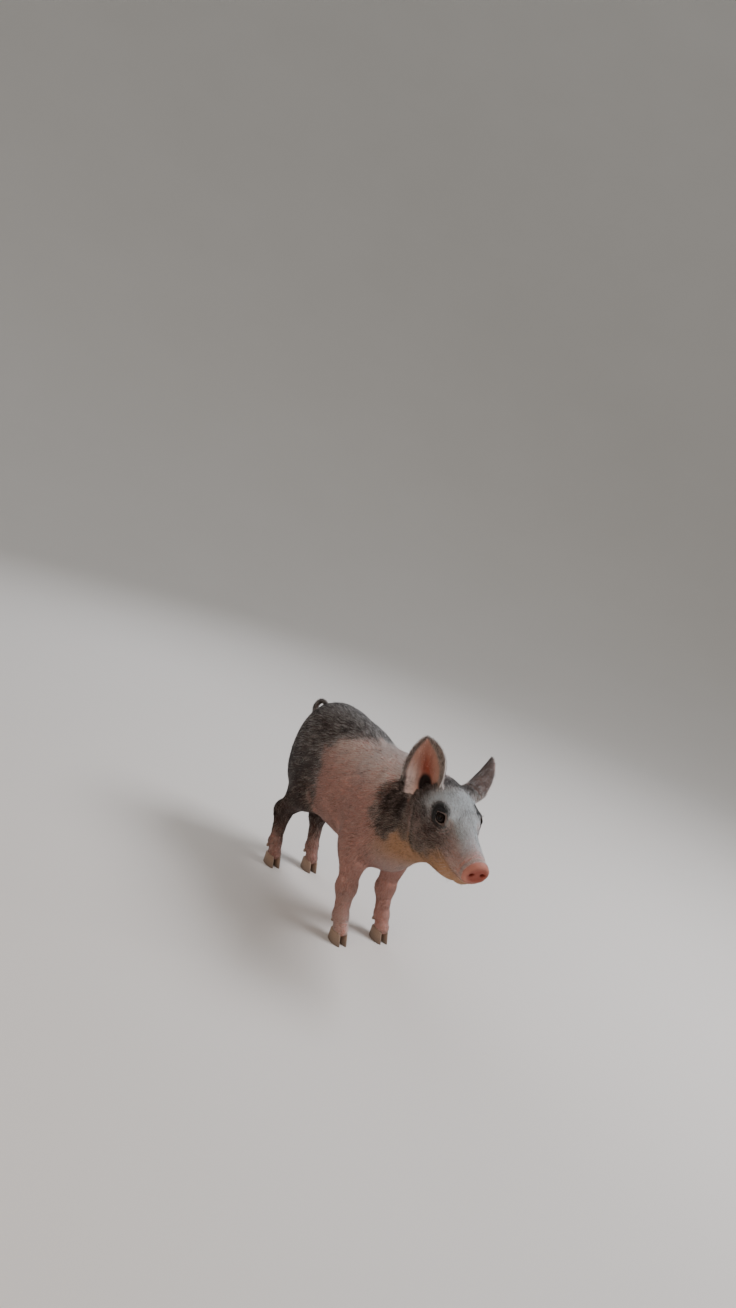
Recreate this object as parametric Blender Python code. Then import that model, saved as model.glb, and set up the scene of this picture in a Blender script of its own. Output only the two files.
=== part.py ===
"""A life-size spotted piglet of about seven weeks, standing still on its four feet.

Metres, +Z up, head towards +X, its left side towards +Y, the floor at Z 0.

The flesh is one form: a smooth union of named masses (ribs, hams, cheeks, muzzle, leg bones and
ears), each a distance worked out over one grid. It is meshed once and then parted with thin
cuts. Eyes, claws, dewclaws and tail are pieces of their own.
"""

import math

import bmesh
import bpy
import numpy as np
import openvdb
from mathutils import Matrix, Vector

# ---------------------------------------------------------------- driving sizes, in metres
GAP = 0.0003  # between pieces that touch
GRID_STEP = 0.0028
GRID_LOW = (-0.235, -0.140, 0.004)
GRID_HIGH = (0.440, 0.140, 0.490)
FLESH_TRIANGLES = 3750  # what the meshed flesh is thinned to
FAR = 0.06  # distance that the field starts from
LEFT, RIGHT = 1, -1

CHEST_WIDTH = 0.148
CHEST_DEPTH = 0.196
CHEST_MIDDLE = 0.248  # height above the floor
LIMB_SPREAD = 0.042  # from the middle plane to the elbow and the stifle
FORE_STEPS = ((RIGHT, 0.022, 0.040), (LEFT, 0.018, 0.060))  # side, step forward, foot spread
HIND_STEPS = ((RIGHT, -0.006, 0.040), (LEFT, 0.010, 0.044))

HEAD_ORIGIN = (0.214, -0.006, 0.332)  # middle of the skull, between the ears
HEAD_YAW = -13.0  # degrees, towards its right
HEAD_PITCH = 14.0  # degrees, nose down
HEAD_ROLL = 6.0  # degrees, left ear up
SNOUT_REACH = 0.187  # skull to the snout's flat disc
SNOUT_LEAN = math.radians(-6)  # the disc looks a little down

EYE_RADIUS = 0.0103
EYE_PLACE = (0.078, 0.0325, 0.0225)  # in the head's frame: forward, left, up

EAR_LENGTH = 0.0855
EAR_HALF_WIDTH = 0.038
EAR_THICK = 0.0056
EAR_BASE = (-0.004, 0.042, 0.014)  # in the head's frame
EAR_ALONG = {LEFT: (-0.02, 0.82, 0.57), RIGHT: (-0.12, -0.17, 0.98)}  # base to tip
EAR_FACING = {LEFT: (0.68, 0.60, -0.25), RIGHT: (0.76, -0.62, 0.10)}  # way the hollow looks

CLAW_LENGTH = 0.036
CLAW_WIDTH = 0.0165
CLAW_HEIGHT = 0.0185
CLAW_APART = 0.0012
DEWCLAW_RADII = (0.0042, 0.0042, 0.0075)

TAIL_ROOT = (-0.190, 0.000, 0.306)
TAIL_DOCK = 0.026  # straight stretch before the curl
TAIL_STRAIGHT = 0.25  # the dock's share of the whole length
TAIL_TURNS = 1.30
TAIL_CURL = 0.0165
TAIL_DRIFT = 0.0150  # sideways in each turn
TAIL_RADIUS = 0.0072
TAIL_TAPER = 0.62  # share of the radius lost at the tip
TAIL_STEPS = 26

PINK = (0.62, 0.36, 0.30)
SLATE = (0.13, 0.12, 0.125)
HORN = (0.30, 0.22, 0.16)
EYE_DARK = (0.02, 0.012, 0.010)


# ---------------------------------------------------------------- frames
def turned(yaw=0.0, pitch=0.0, roll=0.0):
    """Axes turned by yaw about +Z, then nose-down by pitch, then by roll about their own x."""
    return (
        Matrix.Rotation(math.radians(yaw), 3, "Z")
        @ Matrix.Rotation(math.radians(pitch), 3, "Y")
        @ Matrix.Rotation(math.radians(roll), 3, "X")
    )


def leaning(back, outward):
    """Axes of a box with upright sides, whose top climbs to the back and to the left."""
    climb_back = math.tan(math.radians(back))
    climb_left = math.tan(math.radians(outward))
    return Matrix(((1, 0, 0), (0, 1, 0), (-climb_back, climb_left, 1)))


HEAD = turned(HEAD_YAW, HEAD_PITCH, HEAD_ROLL)


def on_head(forward, left, up):
    """A point of the head's frame, in the body's frame."""
    return HEAD @ Vector((forward, left, up)) + Vector(HEAD_ORIGIN)


def ear_axes(side):
    """Columns: along the ear, across it, and the way its hollow side looks."""
    along = Vector(EAR_ALONG[side]).normalized()
    across = Vector(EAR_FACING[side]).cross(along).normalized()
    return Matrix((along, across, along.cross(across))).transposed()


def ear_base(side):
    """The middle of an ear's base, on the skull."""
    forward, left, up = EAR_BASE
    return on_head(forward, side * left, up)


def side_name(side):
    """The word for a side."""
    return "left" if side == LEFT else "right"


# ---------------------------------------------------------------- the flesh as a field
class Flesh:
    """Distance to the skin on a grid, below zero inside; masses are joined to it one by one."""

    def __init__(self, low, high, step):
        self.low = low
        self.step = step
        self.axes = [np.arange(a, b, step, dtype=np.float32) for a, b in zip(low, high)]
        self.distance = np.full([len(axis) for axis in self.axes], FAR, dtype=np.float32)

    def around(self, low, high, axes):
        """The block of the grid between two corners, and its points in the given axes."""
        block = tuple(
            slice(*np.searchsorted(axis, (a, b))) for axis, a, b in zip(self.axes, low, high)
        )
        grids = np.meshgrid(*(axis[part] for axis, part in zip(self.axes, block)), indexing="ij")
        points = np.stack(grids, axis=-1)
        return block, points if axes is None else points @ np.array(axes, dtype=np.float32)

    def join(self, block, mass, blend):
        """Smooth union: where two distances differ by less than blend, the lower one drops."""
        old = self.distance[block]
        near = np.clip(1 - np.abs(old - mass) / blend, 0, None)
        self.distance[block] = np.minimum(old, mass) - near**2 * blend / 4

    def carve(self, block, mass, blend):
        """Smooth difference, the same way."""
        self.distance[block] = smooth_most(self.distance[block], -mass, blend)

    def ball(self, centre, radii, blend, axes=None, hollow=False):
        """An ellipsoid: |p/r| (|p/r| - 1) / |p/r^2| is close to its distance."""
        centre, radii = np.array(centre), np.array(radii)
        reach = 1.15 * radii.max() + 1.7 * blend + 4 * self.step
        block, points = self.around(centre - reach, centre + reach, axes)
        points = points - (centre if axes is None else centre @ np.array(axes))
        scaled = np.linalg.norm(points / radii, axis=-1) + 1e-6
        steep = np.linalg.norm(points / radii**2, axis=-1) + 1e-6
        mass = scaled * (scaled - 1) / steep
        (self.carve if hollow else self.join)(block, mass, blend)

    def flatten(self, centre, normal, reach, blend):
        """Cut the form flat at a plane, within reach of a point on it, and round the edge."""
        centre = np.array(centre)
        block, points = self.around(centre - reach, centre + reach, None)
        beyond = (points - centre) @ np.array(normal)
        self.distance[block] = smooth_most(self.distance[block], beyond, blend)

    def limb(self, start, end, start_radius, end_radius, blend, flat=1.0):
        """A round bar between two balls; its radius eases along it, and flat thins it in y."""
        start, end = np.array(start), np.array(end)
        reach = max(start_radius, end_radius) + 1.5 * blend + 4 * self.step
        low, high = np.minimum(start, end) - reach, np.maximum(start, end) + reach
        block, points = self.around(low, high, None)
        line = end - start
        share = np.clip((points - start) @ line / (line @ line), 0, 1)
        off = points - start - share[..., None] * line
        off[..., 1] /= flat
        eased = share**2 * (3 - 2 * share)
        mass = np.linalg.norm(off, axis=-1) - start_radius - eased * (end_radius - start_radius)
        self.join(block, mass, blend)

    def ear(self, side, blend):
        """A rolled leaf: at each height two arcs that meet at the bottom of the trough.

        The inner arc is tight at the base and opens towards the tip, and the outer one has
        twice its radius, so the low outer lobe spreads.
        """
        axes = ear_axes(side)
        base = ear_base(side)
        reach = EAR_LENGTH + 0.03
        low, high = [value - reach for value in base], [value + reach for value in base]
        block, points = self.around(low, high, axes)
        points = points - np.array(base @ axes)
        height, across, facing = points[..., 0], points[..., 1], points[..., 2]
        share = np.clip(height / EAR_LENGTH, 0, 1.2)
        spreads = across * side < 0
        tight = 0.0300 + 0.018 * share
        curl = np.where(spreads, 2.0, 1.0) * tight
        middle = 0.021 + 0.012 * share - 0.014 * share**2 + curl - tight
        radius = np.hypot(across, facing - middle)
        angle = np.arctan2(across, middle - facing)
        thick = EAR_THICK * (1 - 0.35 * share)
        wall = np.abs(radius - curl) - thick / 2
        rim = curl * np.abs(angle) - ear_half_width(share, spreads)
        outline = smooth_most(rim, -0.021 - height, 0.032)
        self.join(block, smooth_most(wall, outline, 0.002), blend)


def smooth_most(first, second, blend):
    """The larger of two distances, with their edge rounded."""
    near = np.clip(1 - np.abs(first - second) / blend, 0, None)
    return np.maximum(first, second) + near**2 * blend / 4


def ear_half_width(share, spreads):
    """Half the ear's width at a share of its length: the spread edge is full at the base."""
    full = np.where(spreads, 0.25, 0.22)
    low = np.where(spreads, 1.00, 0.90)
    rise = low + (1 - low) * np.sin(np.clip(share / full, 0, 1) * math.pi / 2)
    fall = 1 - np.clip((share - full) / (1 - full), 0, None) ** np.where(spreads, 1.75, 3.3)
    fall = np.sign(fall) * np.abs(fall) ** 0.72
    return EAR_HALF_WIDTH * rise * fall * np.where(spreads, 0.96, 1.60 - 0.48 * share)


# ---------------------------------------------------------------- the masses
def shape_trunk(flesh):
    """Ribs, belly, loin, croup, withers, shoulders, hams, neck and throat."""
    half_width = CHEST_WIDTH / 2
    half_depth = CHEST_DEPTH / 2
    flesh.ball((0.030, 0, CHEST_MIDDLE), (0.150, half_width, half_depth), 0.020)
    flesh.ball((-0.044, 0, 0.248), (0.130, half_width, 0.091), 0.040, turned(pitch=4))
    flesh.ball((-0.070, 0, 0.300), (0.116, 0.058, 0.064), 0.040)
    flesh.ball((-0.128, 0, 0.294), (0.062, 0.060, 0.066), 0.040, turned(pitch=-12))
    flesh.ball((0.096, 0, 0.296), (0.090, 0.044, 0.046), 0.040)
    flesh.ball((0.135, 0, 0.214), (0.056, 0.050, 0.062), 0.040, turned(pitch=-20))
    for side in (LEFT, RIGHT):
        flesh.ball((0.104, side * 0.034, 0.244), (0.054, 0.037, 0.086), 0.030, turned(pitch=-14))
        flesh.ball((-0.122, side * 0.035, 0.252), (0.062, 0.041, 0.092), 0.030, turned(pitch=18))
        flesh.ball((-0.080, side * 0.042, 0.194), (0.034, 0.026, 0.044), 0.030, turned(pitch=25))
        flesh.ball((0.084, side * 0.043, 0.176), (0.026, 0.020, 0.032), 0.024)
    flesh.limb((0.118, 0, 0.270), (0.200, -0.004, 0.316), 0.080, 0.056, 0.050, flat=0.86)
    flesh.ball((0.192, -0.003, 0.262), (0.050, 0.042, 0.054), 0.040, turned(pitch=-35))


def foreleg_joints(side, forward, spread):
    """Elbow, knee, fetlock and coronet of a foreleg that has stepped forward."""
    elbow_spread = LIMB_SPREAD + 0.6 * (spread - 0.040)
    knee_spread = 0.3 * LIMB_SPREAD + 0.7 * spread
    return (
        (0.098 + 0.8 * (elbow_spread - LIMB_SPREAD), side * elbow_spread, 0.184),
        (0.100 + 0.45 * forward, side * knee_spread, 0.098),
        (0.104 + 0.85 * forward, side * spread, 0.045),
        (0.114 + forward, side * spread, 0.028),
    )


def hindleg_joints(side, forward, spread):
    """Stifle, hock, fetlock and coronet of a hind leg."""
    return (
        (-0.090, side * LIMB_SPREAD, 0.196),
        (-0.152 + 0.5 * forward, side * spread, 0.112),
        (-0.140 + 0.9 * forward, side * spread, 0.047),
        (-0.128 + forward, side * spread, 0.028),
    )


def shape_leg(flesh, joints, radii, knuckle):
    """Upper leg, shank and pastern, with the knuckle of the knee or hock and the coronet."""
    upper, middle, fetlock, coronet = joints
    top, above, below, ankle, foot = radii
    flesh.limb(upper, middle, top, above, 0.022)
    flesh.ball(middle, knuckle, 0.010)
    flesh.limb(middle, fetlock, below, ankle, 0.010)
    flesh.limb(fetlock, coronet, ankle + 0.0012, foot, 0.006)
    hoof = coronet[0], coronet[1], 0.023
    flesh.ball(hoof, (0.0165, 0.0135, 0.0120), 0.006)


def shape_head(flesh):
    """Cranium, forehead, cheeks, jowl, muzzle, bridge, jaw, lips, snout and brows."""

    def ball(spot, radii, blend, hollow=False):
        flesh.ball(on_head(*spot), radii, blend, HEAD, hollow)

    def limb(start, end, start_radius, end_radius, blend):
        flesh.limb(on_head(*start), on_head(*end), start_radius, end_radius, blend)

    ball((0.026, 0, 0.004), (0.050, 0.042, 0.038), 0.030)
    ball((0.056, 0, 0.014), (0.044, 0.038, 0.031), 0.024)
    ball((0.008, 0, -0.052), (0.054, 0.043, 0.043), 0.030)
    for side in (LEFT, RIGHT):
        ball((0.044, side * 0.026, -0.022), (0.050, 0.026, 0.046), 0.024)
        ball((0.074, side * 0.025, 0.028), (0.020, 0.013, 0.011), 0.014)
        ball((0.142, side * 0.011, -0.009), (0.034, 0.013, 0.014), 0.012)
    limb((0.080, 0, -0.005), (0.170, 0, -0.002), 0.0335, 0.0190, 0.024)
    limb((0.076, 0, 0.018), (0.178, 0, 0.0085), 0.0170, 0.0105, 0.020)
    limb((0.036, 0, -0.053), (0.146, 0, -0.030), 0.0380, 0.0180, 0.026)
    ball((0.090, 0, -0.047), (0.046, 0.025, 0.023), 0.020)
    ball((SNOUT_REACH - 0.008, 0, 0.001), (0.0150, 0.0215, 0.0175), 0.007)
    disc = HEAD @ Vector((math.cos(SNOUT_LEAN), 0, math.sin(SNOUT_LEAN)))
    flesh.flatten(on_head(SNOUT_REACH, 0, 0.001), disc, 0.034, 0.005)
    for side in (LEFT, RIGHT):
        forward, left, up = EYE_PLACE
        ball((forward + 0.004, side * (left + 0.008), up), (0.0120, 0.0085, 0.0085), 0.008, True)


def build_field():
    """The whole flesh on one grid."""
    flesh = Flesh(GRID_LOW, GRID_HIGH, GRID_STEP)
    shape_trunk(flesh)
    fore_radii = (0.0330, 0.0184, 0.0178, 0.0142, 0.0130)
    hind_radii = (0.0360, 0.0180, 0.0166, 0.0138, 0.0130)
    for step in FORE_STEPS:
        shape_leg(flesh, foreleg_joints(*step), fore_radii, (0.0186, 0.0176, 0.0210))
    for step in HIND_STEPS:
        shape_leg(flesh, hindleg_joints(*step), hind_radii, (0.0195, 0.0158, 0.0230))
    shape_head(flesh)
    for side in (LEFT, RIGHT):
        flesh.ear(side, 0.010)
    return flesh


# ---------------------------------------------------------------- objects and cuts
def new_material(name, colour, roughness=0.6):
    """A plain finish of skin, horn or eye."""
    finish = bpy.data.materials.new(name)
    finish.use_nodes = True
    shader = finish.node_tree.nodes["Principled BSDF"]
    shader.inputs["Base Color"].default_value = (*colour, 1)
    shader.inputs["Roughness"].default_value = roughness
    shader.inputs["Metallic"].default_value = 0.0
    return finish


def place(name, mesh, collection, colour=None, roughness=0.6):
    """An object of a mesh, in a collection, with a material of its own."""
    thing = bpy.data.objects.new(name, mesh)
    collection.objects.link(thing)
    if colour:
        mesh.materials.clear()
        mesh.materials.append(new_material(name, colour, roughness))
    return thing


def as_cutter(thing):
    """Keep a cutter out of the build and the renders."""
    thing.hide_render = True
    thing.display_type = "WIRE"
    return thing


def apply_modifiers(thing):
    """Swap the object's mesh for the one that its modifiers make."""
    evaluated = thing.evaluated_get(bpy.context.evaluated_depsgraph_get())
    mesh = bpy.data.meshes.new_from_object(evaluated)
    thing.modifiers.clear()
    thing.data = mesh


def cut(thing, cutter, operation):
    """One exact Boolean, applied."""
    modifier = thing.modifiers.new("cut", "BOOLEAN")
    modifier.operation = operation
    modifier.solver = "EXACT"
    modifier.object = cutter
    apply_modifiers(thing)


def mesh_from(form, name):
    """A mesh of a bmesh, which is then freed."""
    mesh = bpy.data.meshes.new(name)
    form.to_mesh(mesh)
    form.free()
    return mesh


def make_block(name, region, grow, cutters):
    """A box between two corners of a turned frame, grown on every side."""
    origin, axes, low, high = region
    form = bmesh.new()
    bmesh.ops.create_cube(form, size=1.0)
    size = Vector(high) - Vector(low) + Vector((2 * grow,) * 3)
    middle = (Vector(high) + Vector(low)) / 2
    for vertex in form.verts:
        local = Vector(a * b for a, b in zip(vertex.co, size)) + middle
        vertex.co = axes @ local + Vector(origin)
    return as_cutter(place(name, mesh_from(form, name), cutters))


def part_off(body, name, region, groups, colour):
    """Take the piece inside a box off a body, and leave the gap of a cut on the body's side."""
    parts, cutters = groups
    piece = place(name, body.data.copy(), parts, colour)
    cut(piece, make_block(f"cut_{name}", region, 0.0, cutters), "INTERSECT")
    cut(body, make_block(f"cut_{name}_wide", region, GAP, cutters), "DIFFERENCE")
    return piece


def mesh_flesh(flesh, name, parts, colour):
    """The field's zero surface as an object, thinned to the triangles that the solids may have."""
    grid = openvdb.FloatGrid()
    grid.background = FAR
    grid.copyFromArray(flesh.distance)
    points, triangles, quads = grid.convertToPolygons(isovalue=0.0, adaptivity=0.0)
    points = points * flesh.step + np.array(flesh.low)
    mesh = bpy.data.meshes.new(name)
    mesh.from_pydata(points.tolist(), [], triangles.tolist() + quads.tolist())
    body = place(name, mesh, parts, colour)
    thin = body.modifiers.new("thin", "DECIMATE")
    thin.ratio = FLESH_TRIANGLES / (2 * len(mesh.polygons))
    thin.use_collapse_triangulate = True
    apply_modifiers(body)
    return body


def make_ellipsoid(name, centre, radii, axes, rings, grow, collection, colour=None):
    """A ball with three radii, grown by a gap, turned to the given axes."""
    form = bmesh.new()
    bmesh.ops.create_uvsphere(form, u_segments=2 * rings, v_segments=rings, radius=1.0)
    for vertex in form.verts:
        local = Vector(a * (b + grow) for a, b in zip(vertex.co, radii))
        vertex.co = axes @ local + Vector(centre)
    mesh = mesh_from(form, name)
    mesh.shade_smooth()
    return place(name, mesh, collection, colour, 0.3)


# ---------------------------------------------------------------- pieces
def make_eye(head, side, groups):
    """A ball in a socket that is a gap wider."""
    parts, cutters = groups
    name = f"eye_{side_name(side)}"
    forward, left, up = EYE_PLACE
    ball = on_head(forward, side * left, up), (EYE_RADIUS,) * 3, HEAD, 9
    socket = as_cutter(make_ellipsoid(f"socket_{name}", *ball, GAP, cutters))
    cut(head, socket, "DIFFERENCE")
    make_ellipsoid(name, *ball, 0.0, parts, EYE_DARK)


def make_claw(name, toe, way, parts):
    """Half a cloven hoof: a flat almond sole that leans back and narrows to the coronet."""
    form = bmesh.new()
    bmesh.ops.create_cone(
        form, cap_ends=True, segments=12, radius1=1.0, radius2=1.0, depth=CLAW_HEIGHT
    )
    for vertex in form.verts:
        along, across, level = vertex.co
        top = level > 0
        half_length = CLAW_LENGTH * (0.42 if top else 0.50)
        half_width = CLAW_WIDTH * (0.44 if top else 0.50)
        point = 1 - 0.30 * max(along, 0.0) ** 2
        inner = 0.72 if across * way < 0 else 1.0
        lean = -0.0040 if top else 0.0
        vertex.co.x = toe[0] + half_length * along + lean
        vertex.co.y = toe[1] + half_width * across * point * inner
        vertex.co.z = level + CLAW_HEIGHT / 2
    place(name, mesh_from(form, name), parts, HORN, 0.5)


def make_dewclaw(foot, name, spot, groups):
    """A small blunt claw that points down and back from the pastern."""
    parts, cutters = groups
    ball = spot, DEWCLAW_RADII, turned(pitch=38), 4
    cut(foot, as_cutter(make_ellipsoid(f"pocket_{name}", *ball, GAP, cutters)), "DIFFERENCE")
    make_ellipsoid(name, *ball, 0.0, parts, HORN)


def make_lower_leg(leg, name, side, joints, groups, colour):
    """Part shank and foot off a leg, trim the foot flat and set its claws and dewclaws."""
    parts, cutters = groups
    middle, fetlock, coronet = joints[1:]
    ending = side_name(side)
    low, high = (-0.05, -0.05, -0.15), (0.05, 0.05, 0.0)
    shank = part_off(leg, f"{name}_shank_{ending}", (middle, turned(), low, high), groups, colour)
    ankle = fetlock, turned(), low, high
    foot = part_off(shank, f"{name}_foot_{ending}", ankle, groups, colour)
    sole = (coronet[0], coronet[1], CLAW_HEIGHT + GAP), turned(), low, high
    cut(foot, make_block(f"cut_{name}_sole_{ending}", sole, 0.0, cutters), "DIFFERENCE")
    apart = (CLAW_WIDTH * 0.86 + CLAW_APART) / 2
    for label, way in (("inner", -side), ("outer", side)):
        toe = coronet[0] + 0.0035, coronet[1] + way * apart
        make_claw(f"{name}_claw_{label}_{ending}", toe, way, parts)
        spot = coronet[0] - 0.0185, coronet[1] + way * 0.0080, 0.0330
        make_dewclaw(foot, f"{name}_dewclaw_{label}_{ending}", spot, groups)


def tail_point(share):
    """A point of the tail's middle line: straight back, then a rising curl that drifts left."""
    root = Vector(TAIL_ROOT)
    if share < TAIL_STRAIGHT:
        return root + Vector((-TAIL_DOCK * share / TAIL_STRAIGHT, 0, 0))
    curled = (share - TAIL_STRAIGHT) / (1 - TAIL_STRAIGHT)
    turn = curled * TAIL_TURNS * 2 * math.pi
    curl = TAIL_CURL * (1 - 0.18 * curled)
    centre = root + Vector((-TAIL_DOCK, 0, TAIL_CURL))
    drift = TAIL_DRIFT * TAIL_TURNS * curled
    return centre + Vector((-curl * math.sin(turn), drift, -curl * math.cos(turn)))


def make_tail_tube(name, grow, collection, colour=None):
    """The tail as a tapered tube with closed ends."""
    curve = bpy.data.curves.new(name, "CURVE")
    curve.dimensions = "3D"
    curve.bevel_depth = TAIL_RADIUS + grow
    curve.bevel_resolution = 2
    curve.use_fill_caps = True
    spline = curve.splines.new("POLY")
    spline.points.add(TAIL_STEPS)
    for index, point in enumerate(spline.points):
        share = index / TAIL_STEPS
        point.co = (*tail_point(share), 1)
        point.radius = 1 - TAIL_TAPER * share
    line = bpy.data.objects.new(name + "_line", curve)
    collection.objects.link(line)
    depsgraph = bpy.context.evaluated_depsgraph_get()
    mesh = bpy.data.meshes.new_from_object(line.evaluated_get(depsgraph))
    form = bmesh.new()
    form.from_mesh(mesh)
    bmesh.ops.remove_doubles(form, verts=form.verts, dist=0.00005)
    bmesh.ops.recalc_face_normals(form, faces=form.faces)
    thing = place(name, mesh_from(form, name), collection, colour)
    thing.matrix_world = line.matrix_world
    bpy.data.objects.remove(line)
    return thing


def make_tail(trunk, groups):
    """The curly tail, let into the rump by a gap's width."""
    parts, cutters = groups
    make_tail_tube("tail", 0.0, parts, SLATE)
    cut(trunk, as_cutter(make_tail_tube("pocket_tail", GAP, cutters)), "DIFFERENCE")


# ---------------------------------------------------------------- the whole animal
def build_head(body, groups):
    """Ears, head, jaw, snout, eyes and neck, each parted off what is behind it."""
    for side in (LEFT, RIGHT):
        region = ear_base(side), ear_axes(side), (0.019, -0.060, -0.040), (0.120, 0.060, 0.080)
        part_off(body, f"ear_{side_name(side)}", region, groups, SLATE)
    nape = turned(yaw=-9, pitch=-24)
    region = (0.2075, 0, 0.300), nape, (0, -0.12, -0.14), (0.30, 0.12, 0.16)
    head = part_off(body, "head", region, groups, SLATE)
    region = HEAD_ORIGIN, HEAD, (0.072, -0.06, -0.12), (0.25, 0.06, -0.0195)
    part_off(head, "lower_jaw", region, groups, PINK)
    region = HEAD_ORIGIN, HEAD, (0.166, -0.06, -0.12), (0.25, 0.06, 0.06)
    part_off(head, "snout", region, groups, PINK)
    for side in (LEFT, RIGHT):
        make_eye(head, side, groups)
    region = (0.150, 0, 0.270), nape, (0, -0.12, -0.16), (0.30, 0.12, 0.16)
    part_off(body, "neck", region, groups, SLATE)


def leg_region(side, origin, back, fore_reach, hind_reach):
    """The box that parts a leg: its inner side stands by the middle plane."""
    inner, outer = LIMB_SPREAD - 0.008, 0.070
    right, left = (inner, outer) if side == LEFT else (outer, inner)
    return (
        (origin[0], side * LIMB_SPREAD, origin[1]),
        leaning(back, 45 * side),
        (-hind_reach, -right, -0.260),
        (fore_reach, left, 0.0),
    )


def build_legs(body, groups):
    """The four legs, each parted from the trunk by a plane that rises outwards."""
    for side, forward, spread in FORE_STEPS:
        region = leg_region(side, (0.095, 0.182), 0, 0.085, 0.037)
        leg = part_off(body, f"fore_upper_{side_name(side)}", region, groups, PINK)
        joints = foreleg_joints(side, forward, spread)
        make_lower_leg(leg, "fore", side, joints, groups, PINK)
    for side, forward, spread in HIND_STEPS:
        region = leg_region(side, (-0.115, 0.205), 30, 0.075, 0.110)
        leg = part_off(body, f"hind_upper_{side_name(side)}", region, groups, SLATE)
        joints = hindleg_joints(side, forward, spread)
        make_lower_leg(leg, "hind", side, joints, groups, PINK)


def stand_on_origin(parts, cutters):
    """Move everything so that the middle of the animal's box, on the floor, is the origin."""
    spots = np.array([spot.co for thing in parts.objects for spot in thing.data.vertices])
    low, high = spots.min(axis=0), spots.max(axis=0)
    shift = Matrix.Translation((-(low[0] + high[0]) / 2, -(low[1] + high[1]) / 2, -low[2]))
    for thing in (*parts.objects, *cutters.objects):
        thing.data.transform(shift)


def build_piglet():
    """The whole piglet, in the collection named for it."""
    for thing in list(bpy.data.objects):
        bpy.data.objects.remove(thing)
    groups = tuple(bpy.data.collections.new(name) for name in ("piglet", "cutters"))
    for collection in groups:
        bpy.context.scene.collection.children.link(collection)
    body = mesh_flesh(build_field(), "trunk", groups[0], PINK)
    build_head(body, groups)
    build_legs(body, groups)
    make_tail(body, groups)
    stand_on_origin(*groups)


build_piglet()
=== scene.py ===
"""A life-size spotted piglet: one hide, a coat of lying tufts, eyes, hooves and whiskers.

Sizes are metres in the modelling frame: +X towards the snout, +Y to the animal's left, +Z up,
the floor at Z 0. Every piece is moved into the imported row's frame as it is made.
"""

import logging
import math
from dataclasses import dataclass, field
from enum import Enum
from itertools import product

import bpy
import numpy as np
import openvdb
from mathutils import Matrix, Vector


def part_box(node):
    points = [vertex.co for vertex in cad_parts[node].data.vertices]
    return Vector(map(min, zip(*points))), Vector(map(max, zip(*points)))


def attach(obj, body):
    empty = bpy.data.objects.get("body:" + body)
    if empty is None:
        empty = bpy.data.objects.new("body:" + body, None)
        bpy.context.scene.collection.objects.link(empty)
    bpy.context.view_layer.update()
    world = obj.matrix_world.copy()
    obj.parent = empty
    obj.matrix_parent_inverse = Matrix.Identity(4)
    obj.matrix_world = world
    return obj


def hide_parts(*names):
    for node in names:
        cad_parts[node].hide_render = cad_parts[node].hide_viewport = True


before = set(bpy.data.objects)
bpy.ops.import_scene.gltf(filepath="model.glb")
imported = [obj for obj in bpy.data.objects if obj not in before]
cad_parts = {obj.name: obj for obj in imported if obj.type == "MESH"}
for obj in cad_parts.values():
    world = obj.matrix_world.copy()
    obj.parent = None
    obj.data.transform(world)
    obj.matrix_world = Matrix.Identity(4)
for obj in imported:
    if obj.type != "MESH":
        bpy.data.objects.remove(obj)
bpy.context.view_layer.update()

Array = np.ndarray
Spot = tuple[float, float, float]
log = logging.getLogger("piglet")

FAR = 0.06  # the distance that the hide's field starts from
HORN_TOP = 0.0215  # height under which a foot is horn, and bare
ROOT_DEPTH = 0.0003  # how far under the hide a lock starts
LOCK_SHADES = (0.88, 0.88, 0.94, 1.14)  # a lock's shade at its three root corners and its tip
LOCK_PATCH = 0.003  # side of a lock's patch on the atlas, as a share of the square


class Side(Enum):
    """The animal's own left or right; the value is the sign of Y."""

    LEFT = 1
    RIGHT = -1

    @property
    def word(self) -> str:
        """The side's name in lower case."""
        return self.name.lower()


# ------------------------------------------------------------------ formulas
def turned(yaw: float = 0.0, pitch: float = 0.0, roll: float = 0.0) -> Array:
    """Axes turned by yaw about +Z, then nose-down by pitch, then by roll about their own x.

    Args:
        yaw: degrees to the left.
        pitch: degrees, nose down.
        roll: degrees, left side up.

    Returns:
        A 3 by 3 array whose columns are the turned axes.
    """
    angles = ((yaw, "Z"), (pitch, "Y"), (roll, "X"))
    turns = [np.array(Matrix.Rotation(math.radians(angle), 3, axis)) for angle, axis in angles]
    return turns[0] @ turns[1] @ turns[2]


def unit(vectors: Array) -> Array:
    """Vectors divided by their lengths."""
    return vectors / (np.linalg.norm(vectors, axis=-1, keepdims=True) + 1e-12)


def eased(value: Array, low: float, high: float) -> Array:
    """A share that eases from 0 at low to 1 at high: 3 s squared minus 2 s cubed."""
    share = np.clip((value - low) / (high - low), 0.0, 1.0)
    return share**2 * (3 - 2 * share)


def hump(value: Array, middle: float | Array, width: float) -> Array:
    """A bell that is 1 at the middle and falls as exp of minus (distance / width) squared."""
    return np.exp(-(((value - middle) / width) ** 2))


def smooth_most(first: Array, second: Array, blend: float) -> Array:
    """The larger of two distances, with their edge rounded over the blend."""
    near = np.clip(1 - np.abs(first - second) / blend, 0, None)
    return np.maximum(first, second) + near**2 * blend / 4


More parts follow.
